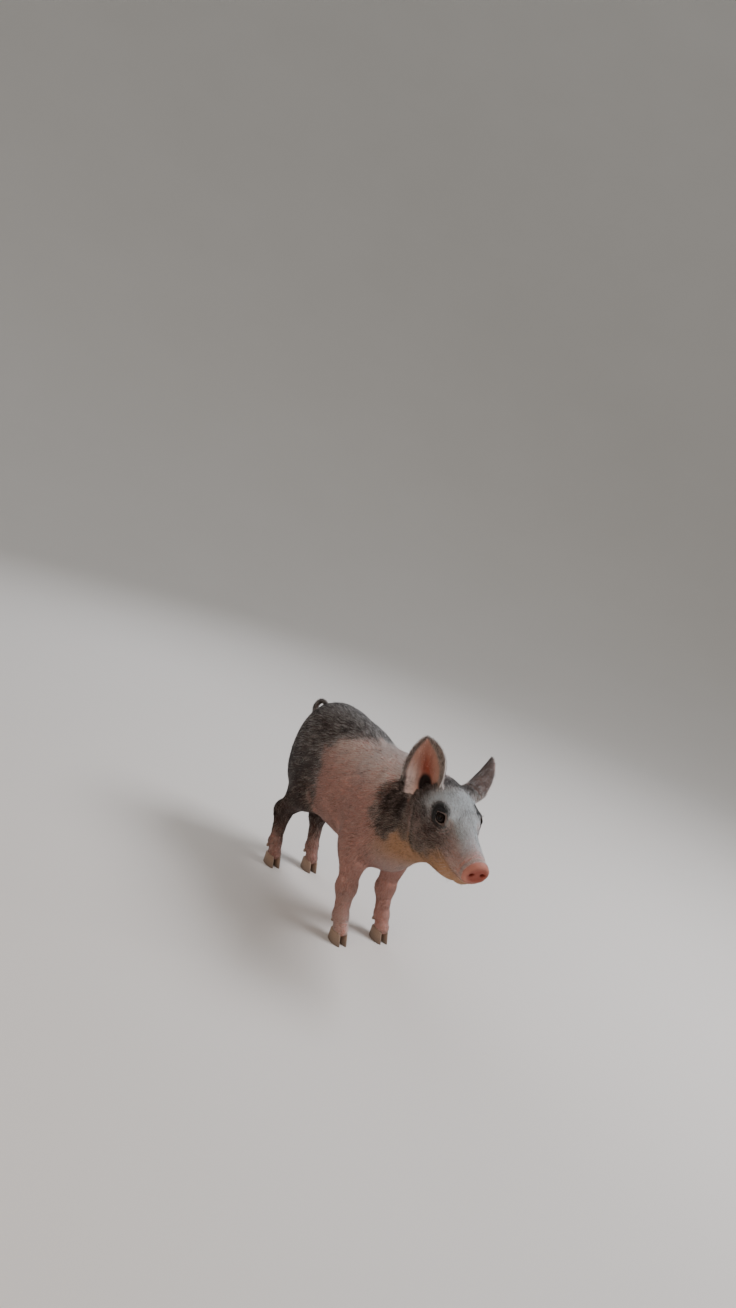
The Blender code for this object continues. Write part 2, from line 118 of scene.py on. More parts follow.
def value_noise(points: Array, size: float, seed: int) -> Array:
    """Smooth noise from -1 to 1: hashed numbers at the corners of cells, eased between them.

    Args:
        points: places, one row each.
        size: edge of a cell in metres.
        seed: picks another pattern.

    Returns:
        One value for each point.
    """
    cell = points / size + 31.7 * seed
    base = np.floor(cell).astype(np.int64)
    part = cell - base
    part = part * part * (3 - 2 * part)
    total = np.zeros(len(points))
    for corner in product((0, 1), repeat=3):
        key = (base + corner) @ np.array([73856093, 19349663, 83492791]) + seed * 7919
        key = (key ^ (key >> 13)) * 1274126177 & 0xFFFFFFFF
        key = (key ^ (key >> 16)) & 0xFFFFFF
        weight = np.prod(np.where(np.array(corner), part, 1 - part), axis=1)
        total += weight * key / 0xFFFFFF
    return 2 * total - 1


def to_path(points: Array, path: Array) -> tuple[Array, Array]:
    """Distance from each point to a path of straight stretches, and how far along it is.

    Args:
        points: places, one row each.
        path: the path's corners.

    Returns:
        The distances, and the shares of the path from 0 to 1.
    """
    best = np.full(len(points), np.inf)
    along = np.zeros(len(points))
    stretches = len(path) - 1
    for index in range(stretches):
        start, line = path[index], path[index + 1] - path[index]
        share = np.clip((points - start) @ line / (line @ line), 0, 1)
        distance = np.linalg.norm(points - start - share[:, None] * line, axis=1)
        nearer = distance < best
        best = np.where(nearer, distance, best)
        along = np.where(nearer, (index + share) / stretches, along)
    return best, along


def linear(colour: str) -> Array:
    """An sRGB hex colour as linear light.

    Args:
        colour: six hex digits after a hash.

    Returns:
        Three shares from 0 to 1.
    """
    codes = np.array([int(colour[i : i + 2], 16) for i in (1, 3, 5)]) / 255
    return np.where(codes <= 0.04045, codes / 12.92, ((codes + 0.055) / 1.055) ** 2.4)


def mixed(first: Array, second: Array, share: Array) -> Array:
    """Colours between two colours, one row for each share."""
    return first + (second - first) * share[:, None]


# ------------------------------------------------------------------ settings of the parts
@dataclass(frozen=True)
class Setting:
    """A turned frame set at a point of the body."""

    origin: Spot
    axes: Array

    def at(self, forward: float, left: float, up: float) -> Array:
        """A spot of this frame, in the body's frame."""
        return self.axes @ np.array((forward, left, up)) + np.array(self.origin)

    def read(self, points: Array) -> Array:
        """Points of the body's frame, in this frame."""
        return (points - np.array(self.origin)) @ self.axes


HEAD = Setting((0.214, -0.006, 0.332), turned(yaw=-13.0, pitch=14.0, roll=6.0))
EYE_PLACE = (0.078, 0.0325, 0.0225)
EYE_RADIUS = 0.0103


def row_shift() -> Array:
    """What moves the modelling frame into the row's frame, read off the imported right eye."""
    low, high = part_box("eye_right")
    middle = (np.array(low) + np.array(high)) / 2
    return middle - HEAD.at(EYE_PLACE[0], -EYE_PLACE[1], EYE_PLACE[2])


SHIFT = row_shift()


# ------------------------------------------------------------------ meshes
def make_object(name: str, points: Array, polygons: list[Array]) -> bpy.types.Object:
    """An object of a mesh, moved into the row's frame and shaded smooth.

    Args:
        name: the object's name.
        points: its points, one row each.
        polygons: arrays of point numbers, one row for each polygon.

    Returns:
        The linked object.
    """
    mesh = bpy.data.meshes.new(name)
    corners = np.concatenate([part.ravel() for part in polygons]).astype(np.int32)
    sizes = np.concatenate([np.full(len(part), part.shape[1]) for part in polygons])
    starts = np.concatenate([[0], np.cumsum(sizes)[:-1]]).astype(np.int32)
    mesh.vertices.add(len(points))
    mesh.vertices.foreach_set("co", (points + SHIFT).astype(np.float32).ravel())
    mesh.loops.add(len(corners))
    mesh.loops.foreach_set("vertex_index", corners)
    mesh.polygons.add(len(sizes))
    mesh.polygons.foreach_set("loop_start", starts)
    mesh.update(calc_edges=True)
    mesh.shade_smooth()
    thing = bpy.data.objects.new(name, mesh)
    bpy.context.scene.collection.objects.link(thing)
    return thing


def paint(thing: bpy.types.Object, name: str, colours: Array) -> None:
    """Store one linear colour for each point of an object's mesh.

    Args:
        thing: the object.
        name: the attribute's name.
        colours: one row of three for each point.
    """
    attribute = thing.data.attributes.new(name, "FLOAT_COLOR", "POINT")
    full = np.ones((len(colours), 4), dtype=np.float32)
    full[:, :3] = colours
    attribute.data.foreach_set("color", full.ravel())


def rate(thing: bpy.types.Object, name: str, values: Array) -> None:
    """Store one number for each point of an object's mesh."""
    attribute = thing.data.attributes.new(name, "FLOAT", "POINT")
    attribute.data.foreach_set("value", values.astype(np.float32))


def sheet_faces(rows: int, columns: int) -> list[Array]:
    """Faces of a closed form: rings of points between a first and a last pole.

    Ring r, column c is point 1 + r * columns + c; point 0 is the first pole and the last point
    the other. Columns run counter-clockwise seen from the last pole.

    Args:
        rows: number of rings.
        columns: points in a ring.

    Returns:
        The quads, then the triangles of both poles.
    """
    column = np.arange(columns)
    following = (column + 1) % columns
    ring = 1 + np.arange(rows - 1)[:, None] * columns
    quads = np.stack(
        (ring + column, ring + following, ring + columns + following, ring + columns + column), -1
    ).reshape(-1, 4)
    last = 1 + (rows - 1) * columns
    first_pole = np.stack((np.zeros(columns, int), 1 + following, 1 + column), -1)
    final = np.full(columns, 1 + rows * columns)
    last_pole = np.stack((last + column, last + following, final), -1)
    return [quads, first_pole, last_pole]


def angles(local: Array) -> tuple[Array, Array]:
    """Angles towards +x and +y of an eye's frame, seen from the ball's middle."""
    away = np.abs(local[..., 2]) + 1e-6
    return np.arctan2(local[..., 0], away), np.arctan2(local[..., 1], away)


# ------------------------------------------------------------------ the hide as a field
class HideField:
    """Distance to the hide on a graded grid, below zero inside; masses join it one by one."""

    def __init__(self, *stretches: tuple[tuple[float, float, float], ...]) -> None:
        """Lay the grid.

        Args:
            stretches: for each axis, (start, end, step) one after the other.
        """
        self.axes = [
            np.concatenate([np.arange(a, b - step / 2, step) for a, b, step in axis]).astype("f")
            for axis in stretches
        ]
        self.distance = np.full([len(axis) for axis in self.axes], FAR, dtype=np.float32)

    def around(self, low: Array, high: Array, axes: Array | None) -> tuple[tuple, Array]:
        """The block of the grid between two corners, and its points in the given axes."""
        block = tuple(
            slice(*np.searchsorted(axis, (a, b))) for axis, a, b in zip(self.axes, low, high)
        )
        grids = np.meshgrid(*(axis[part] for axis, part in zip(self.axes, block)), indexing="ij")
        points = np.stack(grids, axis=-1)
        return block, points if axes is None else points @ np.asarray(axes, dtype=np.float32)

    def join(self, block: tuple, mass: Array, blend: float) -> None:
        """Smooth union: where two distances differ by less than the blend, the lower drops."""
        old = self.distance[block]
        near = np.clip(1 - np.abs(old - mass) / blend, 0, None)
        self.distance[block] = np.minimum(old, mass) - near**2 * blend / 4

    def carve(self, block: tuple, mass: Array, blend: float) -> None:
        """Smooth difference, the same way."""
        self.distance[block] = smooth_most(self.distance[block], -mass, blend)

    def ball(
        self, centre: Spot, radii: Spot, blend: float, axes: Array | None = None,
        hollow: bool = False,
    ) -> None:
        """An ellipsoid: |p/r| (|p/r| - 1) / |p/r^2| is close to its distance.

        Args:
            centre: its middle in the body's frame.
            radii: its three radii along the axes.
            blend: how far it flows into what is there.
            axes: its own axes, or the body's.
            hollow: carve it out instead.
        """
        centre, radii = np.array(centre, dtype="f"), np.array(radii, dtype="f")
        reach = 1.15 * radii.max() + 1.7 * blend + 0.008
        block, points = self.around(centre - reach, centre + reach, axes)
        points = points - (centre if axes is None else centre @ axes.astype("f"))
        scaled = np.linalg.norm(points / radii, axis=-1) + 1e-6
        steep = np.linalg.norm(points / radii**2, axis=-1) + 1e-6
        mass = scaled * (scaled - 1) / steep
        (self.carve if hollow else self.join)(block, mass, blend)

    def limb(
        self, start: Spot, end: Spot, start_radius: float, end_radius: float, blend: float,
        flat: float = 1.0,
    ) -> None:
        """A round bar between two balls; its radius eases along it, and flat thins it in y."""
        start, end = np.array(start, dtype="f"), np.array(end, dtype="f")
        reach = max(start_radius, end_radius) + 1.5 * blend + 0.008
        low, high = np.minimum(start, end) - reach, np.maximum(start, end) + reach
        block, points = self.around(low, high, None)
        line = end - start
        share = np.clip((points - start) @ line / (line @ line), 0, 1)
        off = points - start - share[..., None] * line
        off[..., 1] /= flat
        easing = share**2 * (3 - 2 * share)
        mass = np.linalg.norm(off, axis=-1) - start_radius - easing * (end_radius - start_radius)
        self.join(block, mass, blend)

    def flatten(self, centre: Array, normal: Array, reach: float, blend: float) -> None:
        """Cut the form flat at a plane, within reach of a point on it, and round the edge."""
        block, points = self.around(centre - reach, centre + reach, None)
        beyond = (points - centre.astype("f")) @ normal.astype("f")
        self.distance[block] = smooth_most(self.distance[block], beyond, blend)

    def sink(self, depth: Array) -> None:
        """Draw the whole surface in by a depth, so that the coat's tips reach the old one."""
        self.distance += depth

    def surface(self) -> tuple[Array, list[Array]]:
        """The zero surface: its points, and its quads and triangles facing outwards."""
        grid = openvdb.FloatGrid()
        grid.background = FAR
        grid.copyFromArray(self.distance)
        spots, triangles, quads = grid.convertToPolygons(isovalue=0.0, adaptivity=0.0)
        points = np.stack(
            [np.interp(spots[:, i], np.arange(len(a)), a) for i, a in enumerate(self.axes)], -1
        )
        return points, [part for part in (quads, triangles) if len(part)]


def point_normals(points: Array, polygons: list[Array]) -> Array:
    """Normals at the points: the sum of the normals of the polygons that meet there.

    Args:
        points: one row each.
        polygons: arrays of quads or triangles.

    Returns:
        One unit vector for each point.
    """
    total = np.zeros_like(points)
    for part in polygons:
        across = points[part[:, 2]] - points[part[:, 0]]
        other = points[part[:, -1]] - points[part[:, 1]]
        normal = np.cross(across, other)
        for corner, axis in product(range(part.shape[1]), range(3)):
            total[:, axis] += np.bincount(part[:, corner], normal[:, axis], len(points))
    return unit(total)


# ------------------------------------------------------------------ the masses
@dataclass(frozen=True)
class Trunk:
    """Ribs, belly, loin, croup, withers, shoulders, hams, neck and throat."""

    width: float = 0.148
    depth: float = 0.196
    middle: float = 0.248

    def shape(self, flesh: HideField) -> None:
        """Join the trunk's masses to the field."""
        wide, deep = self.width / 2, self.depth / 2
        flesh.ball((0.030, 0, self.middle), (0.150, wide, deep), 0.020)
        flesh.ball((-0.044, 0, 0.248), (0.130, wide, 0.091), 0.040, turned(pitch=4))
        flesh.ball((-0.070, 0, 0.300), (0.116, 0.058, 0.064), 0.040)
        flesh.ball((-0.128, 0, 0.294), (0.062, 0.060, 0.066), 0.040, turned(pitch=-12))
        flesh.ball((0.096, 0, 0.296), (0.090, 0.044, 0.046), 0.040)
        flesh.ball((0.135, 0, 0.214), (0.056, 0.050, 0.062), 0.040, turned(pitch=-20))
        lean, hang, knee = turned(pitch=-14), turned(pitch=18), turned(pitch=25)
        for side in Side:
            sign = side.value
            flesh.ball((0.104, sign * 0.034, 0.244), (0.054, 0.037, 0.086), 0.030, lean)
            flesh.ball((-0.122, sign * 0.035, 0.252), (0.062, 0.041, 0.092), 0.030, hang)
            flesh.ball((-0.080, sign * 0.042, 0.194), (0.034, 0.026, 0.044), 0.030, knee)
            flesh.ball((0.084, sign * 0.043, 0.176), (0.026, 0.020, 0.032), 0.024)
        flesh.limb((0.118, 0, 0.270), (0.200, -0.004, 0.316), 0.080, 0.056, 0.050, flat=0.86)
        flesh.ball((0.192, -0.003, 0.262), (0.050, 0.042, 0.054), 0.040, turned(pitch=-35))

    def folds(self, points: Array) -> Array:
        """Skin folds as heights: creases are bells across a path, and the hide undulates.

        Args:
            points: points of the hide.

        Returns:
            How far each point moves outwards.
        """
        height = 0.0011 * value_noise(points, 0.045, 3) + 0.0005 * value_noise(points, 0.018, 4)
        for side in Side:
            sign = side.value
            creases = (
                (((0.058, 0.078, 0.232), (0.066, 0.070, 0.196), (0.080, 0.050, 0.158)), 0.0012),
                (((-0.020, 0.078, 0.240), (-0.040, 0.072, 0.205), (-0.058, 0.058, 0.176)), 0.0010),
                (((0.150, 0.060, 0.330), (0.158, 0.072, 0.285), (0.160, 0.055, 0.225)), 0.0007),
                (((0.176, 0.052, 0.330), (0.184, 0.066, 0.290), (0.186, 0.050, 0.235)), 0.0007),
            )
            for path, depth in creases:
                near, along = to_path(points, np.array(path) * (1, sign, 1))
                fade = np.sin(np.pi * (0.02 + 0.96 * along))
                height -= depth * fade * (hump(near, 0.0, 0.0090) - 0.3 * hump(near, 0.016, 0.009))
        return height


@dataclass(frozen=True)
class LegForm:
    """A leg's radii from its top down to the foot, and the three radii of its knuckle."""

    top: float
    above: float
    below: float
    ankle: float
    foot: float
    knuckle: Spot


FORE_FORM = LegForm(0.0330, 0.0184, 0.0178, 0.0142, 0.0130, (0.0184, 0.0172, 0.0210))
HIND_FORM = LegForm(0.0360, 0.0180, 0.0166, 0.0138, 0.0130, (0.0195, 0.0158, 0.0230))


@dataclass(frozen=True)
class Leg:
    """One leg: four joints from the elbow or stifle down to the coronet."""

    side: Side
    fore: bool
    forward: float
    spread: float

    @property
    def name(self) -> str:
        """Which leg it is, as its nodes are named."""
        return "fore" if self.fore else "hind"

    @property
    def joints(self) -> tuple[Spot, Spot, Spot, Spot]:
        """Elbow, knee, fetlock and coronet, or stifle, hock, fetlock and coronet."""
        sign, spread, step = self.side.value, self.spread, self.forward
        if not self.fore:
            return (
                (-0.090, sign * 0.042, 0.196),
                (-0.152 + 0.5 * step, sign * spread, 0.112),
                (-0.140 + 0.9 * step, sign * spread, 0.047),
                (-0.128 + step, sign * spread, 0.028),
            )
        out = 0.6 * (spread - 0.040)
        return (
            (0.098 + 0.8 * out, sign * (0.042 + out), 0.184),
            (0.100 + 0.45 * step, sign * (0.0126 + 0.7 * spread), 0.098),
            (0.104 + 0.85 * step, sign * spread, 0.045),
            (0.114 + step, sign * spread, 0.028),
        )

    def shape(self, flesh: HideField) -> None:
        """Join upper leg, knuckle, shank, pastern and coronet to the field."""
        upper, middle, fetlock, coronet = self.joints
        form = FORE_FORM if self.fore else HIND_FORM
        flesh.limb(upper, middle, form.top, form.above, 0.022)
        flesh.ball(middle, form.knuckle, 0.010)
        flesh.limb(middle, fetlock, form.below, form.ankle, 0.010)
        flesh.limb(fetlock, coronet, form.ankle + 0.0012, form.foot, 0.006)
        flesh.ball((coronet[0], coronet[1], 0.023), (0.0165, 0.0135, 0.0120), 0.006)

    def folds(self, points: Array) -> Array:
        """Wrinkles over the knee and the pastern: a ripple of height inside a bell."""
        height = np.zeros(len(points))
        for joint, reach, step in ((1, 0.024, 0.0062), (3, 0.020, 0.0050)):
            off = points - np.array(self.joints[joint])
            inside = hump(np.linalg.norm(off, axis=1), 0.0, reach)
            height += 0.00028 * np.cos(2 * np.pi * off[:, 2] / step) * inside
        return height


@dataclass(frozen=True)
class Ear:
    """A rolled leaf: at each height two arcs that meet at the bottom of its trough."""

    side: Side
    along: Spot
    facing: Spot
    length: float = 0.0855
    half_width: float = 0.038
    thick: float = 0.0042
    base: Spot = (-0.004, 0.042, 0.014)

    @property
    def setting(self) -> Setting:
        """Origin at the base; axes along the ear, across it, and out of its hollow."""
        along = unit(np.array(self.along))
        across = unit(np.cross(np.array(self.facing), along))
        forward, left, up = self.base
        origin = HEAD.at(forward, self.side.value * left, up)
        return Setting(tuple(origin), np.stack((along, across, np.cross(along, across)), -1))

    def half_widths(self, share: Array, spreads: Array) -> Array:
        """Half the width at a share of the length: the spread edge is full at the base."""
        full = np.where(spreads, 0.25, 0.22)
        low = np.where(spreads, 1.00, 0.90)
        rise = low + (1 - low) * np.sin(np.clip(share / full, 0, 1) * math.pi / 2)
        fall = 1 - np.clip((share - full) / (1 - full), 0, None) ** np.where(spreads, 1.75, 3.3)
        fall = np.sign(fall) * np.abs(fall) ** 0.72
        return self.half_width * rise * fall * np.where(spreads, 0.96, 1.60 - 0.48 * share)

    def measure(self, local: Array) -> tuple[Array, Array, Array, Array]:
        """Read the ear's shape at points of its own frame; the outer arc has twice the radius.

        Args:
            local: points, the last axis holding along, across and facing.

        Returns:
            Share of the length, signed distance out of the circle, distance inside the rim,
            and the wall's thickness there.
        """
        height, across, facing = local[..., 0], local[..., 1], local[..., 2]
        share = np.clip(height / self.length, 0, 1.2)
        spreads = across * self.side.value < 0
        tight = 0.0300 + 0.018 * share
        curl = np.where(spreads, 2.0, 1.0) * tight
        middle = 0.021 + 0.012 * share - 0.014 * share**2 + curl - tight
        outside = np.hypot(across, facing - middle) - curl
        angle = np.arctan2(across, middle - facing)
        rim = curl * np.abs(angle) - self.half_widths(share, spreads)
        return share, outside, rim, self.thick * (1 - 0.35 * share)

    def shape(self, flesh: HideField) -> None:
        """Join the leaf to the field, and sink its canal at the base of the hollow."""
        setting = self.setting
        centre = np.array(setting.origin)
        reach = self.length + 0.03
        block, points = flesh.around(centre - reach, centre + reach, setting.axes)
        local = points - (centre @ setting.axes).astype("f")
        _, outside, rim, thick = self.measure(local)
        wall = np.abs(outside) - thick / 2
        beyond = local[..., 1] * self.side.value + 0.016
        lowest = -0.023 + 22.0 * np.where(beyond < 0, beyond, 0.3 * beyond) ** 2
        outline = smooth_most(rim, lowest - local[..., 0], 0.024)
        flesh.join(block, smooth_most(wall, outline, 0.002), 0.009)
        canal = setting.at(0.014, 0.002 * self.side.value, 0.002)
        flesh.ball(tuple(canal), (0.015, 0.0065, 0.0080), 0.004, setting.axes, hollow=True)

    def folds(self, points: Array) -> Array:
        """Long ridges inside the hollow: a cosine across the ear that fades towards the tip."""
        local = self.setting.read(points)
        share, outside, rim, _ = self.measure(local)
        inside = (outside < 0) & (np.abs(outside) < 0.005) & (rim < 0) & (local[:, 0] > 0.004)
        fade = np.sin(np.pi * np.clip(share * 1.15, 0, 1)) * eased(-rim, 0.002, 0.009)
        ridge = 0.0007 * np.cos(2 * np.pi * local[:, 1] / 0.0105) * fade
        edge = 0.0004 * value_noise(points, 0.010, 6) * eased(local[:, 0], 0.01, 0.03)
        return np.where(inside, ridge, 0.0) + np.where(np.abs(outside) < 0.005, edge, 0.0)


@dataclass(frozen=True)
class EyeSetting:
    """Where an eye looks, and the almond that its lids leave open."""

    side: Side
    half_angle: float = 1.20  # radians from the middle to a corner
    upper: float = 0.90  # radians up to the upper lid
    lower: float = 0.74

    @property
    def setting(self) -> Setting:
        """Origin at the ball's middle; axes to the front corner, up, and out of the eye."""
        sign = self.side.value
        out = unit(HEAD.axes @ np.array((0.66, sign * 0.69, 0.30)))
        fore = HEAD.axes @ np.array((1.0, 0.0, -0.30))
        fore = unit(fore - (fore @ out) * out)
        rise = np.cross(fore, out) * sign
        origin = HEAD.at(EYE_PLACE[0], sign * EYE_PLACE[1], EYE_PLACE[2])
        return Setting(tuple(origin), np.stack((fore, rise, out), -1))

    def lid_edge(self, along: Array, rising: Array) -> Array:
        """How far past the lids' edge a direction lies, in radians; below zero is open.

        The opening's height falls from the middle as 1 - (along / half angle) squared.

        Args:
            along: angle towards the front corner.
            rising: angle upwards.

        Returns:
            The signed angle.
        """
        shape = np.clip(1 - (along / self.half_angle) ** 2, -0.8, 1)
        return np.where(rising > 0, rising - self.upper * shape, -rising - self.lower * shape)

    def shape(self, flesh: HideField) -> None:
        """Join the lids' dome to the face, open the almond and clear the ball."""
        setting = self.setting
        centre = np.array(setting.origin)
        dome = EYE_RADIUS + 0.0013
        flesh.ball(tuple(centre), (dome, dome, dome), 0.007, setting.axes)
        reach = EYE_RADIUS + 0.010
        block, points = flesh.around(centre - reach, centre + reach, setting.axes)
        local = points - (centre @ setting.axes).astype("f")
        far = np.linalg.norm(local, axis=-1)
        opening = self.lid_edge(*angles(local)) * EYE_RADIUS
        opening = np.maximum(opening, 0.003 - local[..., 2])
        flesh.carve(block, np.maximum(opening, far - reach), 0.0014)
        flesh.carve(block, far - EYE_RADIUS - 0.0001, 0.0005)

    def folds(self, points: Array) -> Array:
        """Wrinkles round the lids: rings of height about the eye's middle, inside a bell."""
        local = self.setting.read(points)
        away = np.hypot(local[:, 0] * 0.80, local[:, 1])
        near = (local[:, 2] > 0.0) & (np.linalg.norm(local, axis=1) < 0.040)
        rings = np.cos(2 * np.pi * (away - 0.0112) / 0.0044) * hump(away, 0.0155, 0.0062)
        sway = 0.6 + 0.4 * value_noise(points, 0.012, 8)
        return np.where(near, 0.00075 * rings * sway * eased(away, 0.0090, 0.0110), 0.0)


@dataclass(frozen=True)
class Head:
    """Cranium, cheeks, jowl, muzzle, jaw, lips, brows and the snout's disc."""

    reach: float = 0.187
    disc_lean: float = -6.0
    eyes: tuple[EyeSetting, EyeSetting] = (EyeSetting(Side.LEFT), EyeSetting(Side.RIGHT))

    def shape(self, flesh: HideField) -> None:
        """Join the head's masses to the field, flatten the disc and open the nostrils."""

        def ball(spot: Spot, radii: Spot, blend: float, hollow: bool = False) -> None:
            """A ball in the head's frame."""
            flesh.ball(HEAD.at(*spot), radii, blend, HEAD.axes, hollow)

        def limb(start: Spot, end: Spot, first: float, last: float, blend: float) -> None:
            """A limb in the head's frame."""
            flesh.limb(HEAD.at(*start), HEAD.at(*end), first, last, blend)

        ball((0.026, 0, 0.004), (0.050, 0.042, 0.038), 0.030)
        ball((0.056, 0, 0.014), (0.044, 0.038, 0.031), 0.024)
        ball((0.008, 0, -0.052), (0.054, 0.043, 0.043), 0.030)
        for side in Side:
            sign = side.value
            ball((0.044, sign * 0.026, -0.022), (0.050, 0.026, 0.046), 0.024)
            ball((0.074, sign * 0.025, 0.028), (0.020, 0.013, 0.011), 0.014)
            ball((0.142, sign * 0.011, -0.009), (0.034, 0.013, 0.014), 0.012)
        limb((0.080, 0, -0.005), (0.170, 0, -0.002), 0.0335, 0.0190, 0.024)
        limb((0.076, 0, 0.018), (0.178, 0, 0.0085), 0.0170, 0.0105, 0.020)
        limb((0.036, 0, -0.053), (0.146, 0, -0.030), 0.0380, 0.0180, 0.026)
        ball((0.090, 0, -0.047), (0.046, 0.025, 0.023), 0.020)
        ball((self.reach - 0.008, 0, 0.001), (0.0150, 0.0215, 0.0175), 0.007)
        lean = math.radians(self.disc_lean)
        normal = HEAD.axes @ np.array((math.cos(lean), 0, math.sin(lean)))
        flesh.flatten(HEAD.at(self.reach, 0, 0.001), normal, 0.034, 0.005)

    def open_nostrils(self, flesh: HideField) -> None:
        """Two slanted holes in the disc."""
        for side in Side:
            axes = HEAD.axes @ turned(yaw=-14 * side.value, roll=-12 * side.value)
            spot = HEAD.at(self.reach - 0.001, side.value * 0.0098, 0.0008)
            flesh.ball(tuple(spot), (0.0055, 0.0036, 0.0023), 0.0030, axes, hollow=True)

    def mouth(self, forward: Array) -> tuple[Array, Array]:
        """The mouth line's height at each way forward, and where it is, from 0 to 1."""
        line = np.interp(forward, (0.104, 0.113, 0.128, 0.145, 0.165, 0.186),
                         (-0.0205, -0.0235, -0.0228, -0.0205, -0.0170, -0.0160))
        return line, eased(forward, 0.106, 0.112) * eased(0.188 - forward, 0.0, 0.004)

    def jowl(self, up: Array) -> Array:
        """How far forward the fold before the neck lies at each height."""
        return np.interp(up, (-0.10, -0.041, 0.001, 0.02), (0.056, 0.040, 0.014, 0.004))

    def oval(self, left: Array, up: Array) -> Array:
        """How far out in the snout's disc a place lies: 1 at its rim."""
        return np.hypot(left / 0.0205, (up - 0.001) / 0.0165)

    def folds(self, points: Array) -> Array:
        """Mouth line, lips, snout rim, nose wrinkles and the fold before the neck.

        The mouth is a bell-shaped groove at a height that varies with the way forward; the
        wrinkles are cosines of it; the rim is a bell across the disc's oval.

        Args:
            points: points of the hide.

        Returns:
            How far each point moves outwards.
        """
        local = HEAD.read(points)
        forward, left, up = local[:, 0], local[:, 1], local[:, 2]
        mouth, gate = self.mouth(forward)
        height = -0.0026 * hump(up, mouth, 0.0013) * gate
        height += 0.0009 * hump(up, mouth + 0.0042, 0.0030) * gate
        height += 0.0006 * hump(up, mouth - 0.0036, 0.0026) * gate
        oval = self.oval(left, up)
        disc = eased(forward, self.reach - 0.008, self.reach - 0.004)
        height += disc * (0.0012 * hump(oval, 0.88, 0.16) - 0.0008 * (1 - eased(oval, 0.3, 0.8)))
        height -= 0.0016 * hump(forward, self.reach - 0.0145, 0.0030) * eased(up, -0.014, -0.006)
        top = eased(up, -0.010, 0.004) * eased(forward, 0.146, 0.164)
        top *= eased(0.182 - forward, 0.0, 0.006)
        warp = 0.0036 * value_noise(points, 0.012, 9) - 0.30 * np.abs(left)
        height += 0.00020 * np.cos(2 * np.pi * (forward + warp) / 0.0056) * top
        fold, aside = self.jowl(up), eased(np.abs(left), 0.022, 0.034)
        beside = aside * eased(-up, -0.012, 0.0) * eased(up, -0.11, -0.08)
        height += beside * (-0.0010 * hump(forward, fold, 0.0060))
        height += beside * 0.0004 * hump(forward, fold + 0.0110, 0.0090)
        cheek = hump(forward, 0.075, 0.030) * hump(up, -0.020, 0.022)
        cheek = cheek * eased(np.abs(left), 0.02, 0.03)
        height += 0.0006 * cheek * value_noise(points * (1.0, 1.0, 0.45), 0.010, 10)
        for eye in self.eyes:
            height += eye.folds(points)
        return height


@dataclass(frozen=True)
class Tail:
    """A tapered tube: straight back for the dock, then a rising curl that drifts left."""

    root: Spot = (-0.190, 0.000, 0.306)
    dock: float = 0.026
    straight: float = 0.25
    turns: float = 1.30
    curl: float = 0.0165
    drift: float = 0.0150
    radius: float = 0.0066
    taper: float = 0.62
    steps: int = 30

    @property
    def path(self) -> Array:
        """Points of the middle line: a circle whose radius shrinks by 18 % as it turns."""
        share = np.linspace(0.0, 1.0, self.steps + 1)
        along = np.clip(share / self.straight, 0, 1) * self.dock
        curled = np.clip((share - self.straight) / (1 - self.straight), 0, 1)
        turn = curled * self.turns * 2 * math.pi
        curl = self.curl * (1 - 0.18 * curled)
        x = -along - curl * np.sin(turn)
        z = np.where(curled > 0, self.curl - curl * np.cos(turn), 0.0)
        return np.array(self.root) + np.stack((x, self.drift * self.turns * curled, z), -1)

    def shape(self, flesh: HideField) -> None:
        """Join the tail to the field as short limbs."""
        path = self.path
        radii = self.radius * (1 - self.taper * np.linspace(0, 1, len(path)))
        inner = np.array(self.root) + (0.012, 0, 0)
        flesh.limb(tuple(inner), tuple(path[1]), self.radius * 1.1, radii[1], 0.006)
        for index in range(1, self.steps):
            start, end = path[index], path[index + 1]
            flesh.limb(tuple(start), tuple(end), radii[index], radii[index + 1], 0.0008)


# ------------------------------------------------------------------ where a spot lies
@dataclass(frozen=True)
class Body:
    """The animal's parts, and the shares of each that points of the hide belong to."""

    trunk: Trunk = Trunk()
    head: Head = Head()
    tail: Tail = Tail()
    legs: tuple[Leg, ...] = (
        Leg(Side.RIGHT, True, 0.022, 0.040),
        Leg(Side.LEFT, True, 0.018, 0.060),
        Leg(Side.RIGHT, False, -0.006, 0.040),
        Leg(Side.LEFT, False, 0.010, 0.044),
    )
    ears: tuple[Ear, ...] = (
        Ear(Side.LEFT, (-0.02, 0.82, 0.57), (0.68, 0.60, -0.25)),
        Ear(Side.RIGHT, (-0.12, -0.17, 0.98), (0.76, -0.62, 0.10)),
    )

    def field(self) -> HideField:
        """The whole hide on one grid, finer round the head and the tail."""
        flesh = HideField(
            ((-0.250, -0.196, 0.0018), (-0.196, 0.190, 0.0034), (0.190, 0.404, 0.00135)),
            ((-0.104, 0.116, 0.00165),),
            ((0.014, 0.244, 0.0029), (0.244, 0.440, 0.00135)),
        )
        self.trunk.shape(flesh)
        for leg in self.legs:
            leg.shape(flesh)
        self.head.shape(flesh)
        x, z = flesh.axes[0][:, None, None], flesh.axes[2][None, None, :]
        depth = 0.0023 - 0.0011 * eased(x, 0.200, 0.250)
        flesh.sink(depth - 0.0010 * eased(-z, -0.170, -0.120) * (x < 0.2))
        for eye in self.head.eyes:
            eye.shape(flesh)
        for ear in self.ears:
            ear.shape(flesh)
        self.head.open_nostrils(flesh)
        self.tail.shape(flesh)
        return flesh

    def folds(self, points: Array) -> Array:
        """How far all folds, wrinkles and creases move each point outwards."""
        away = 1 - eased(HEAD.read(points)[:, 0], -0.010, 0.040)
        height = self.trunk.folds(points) * away + self.head.folds(points)
        for part in (*self.legs, *self.ears):
            height = height + part.folds(points)
        return height


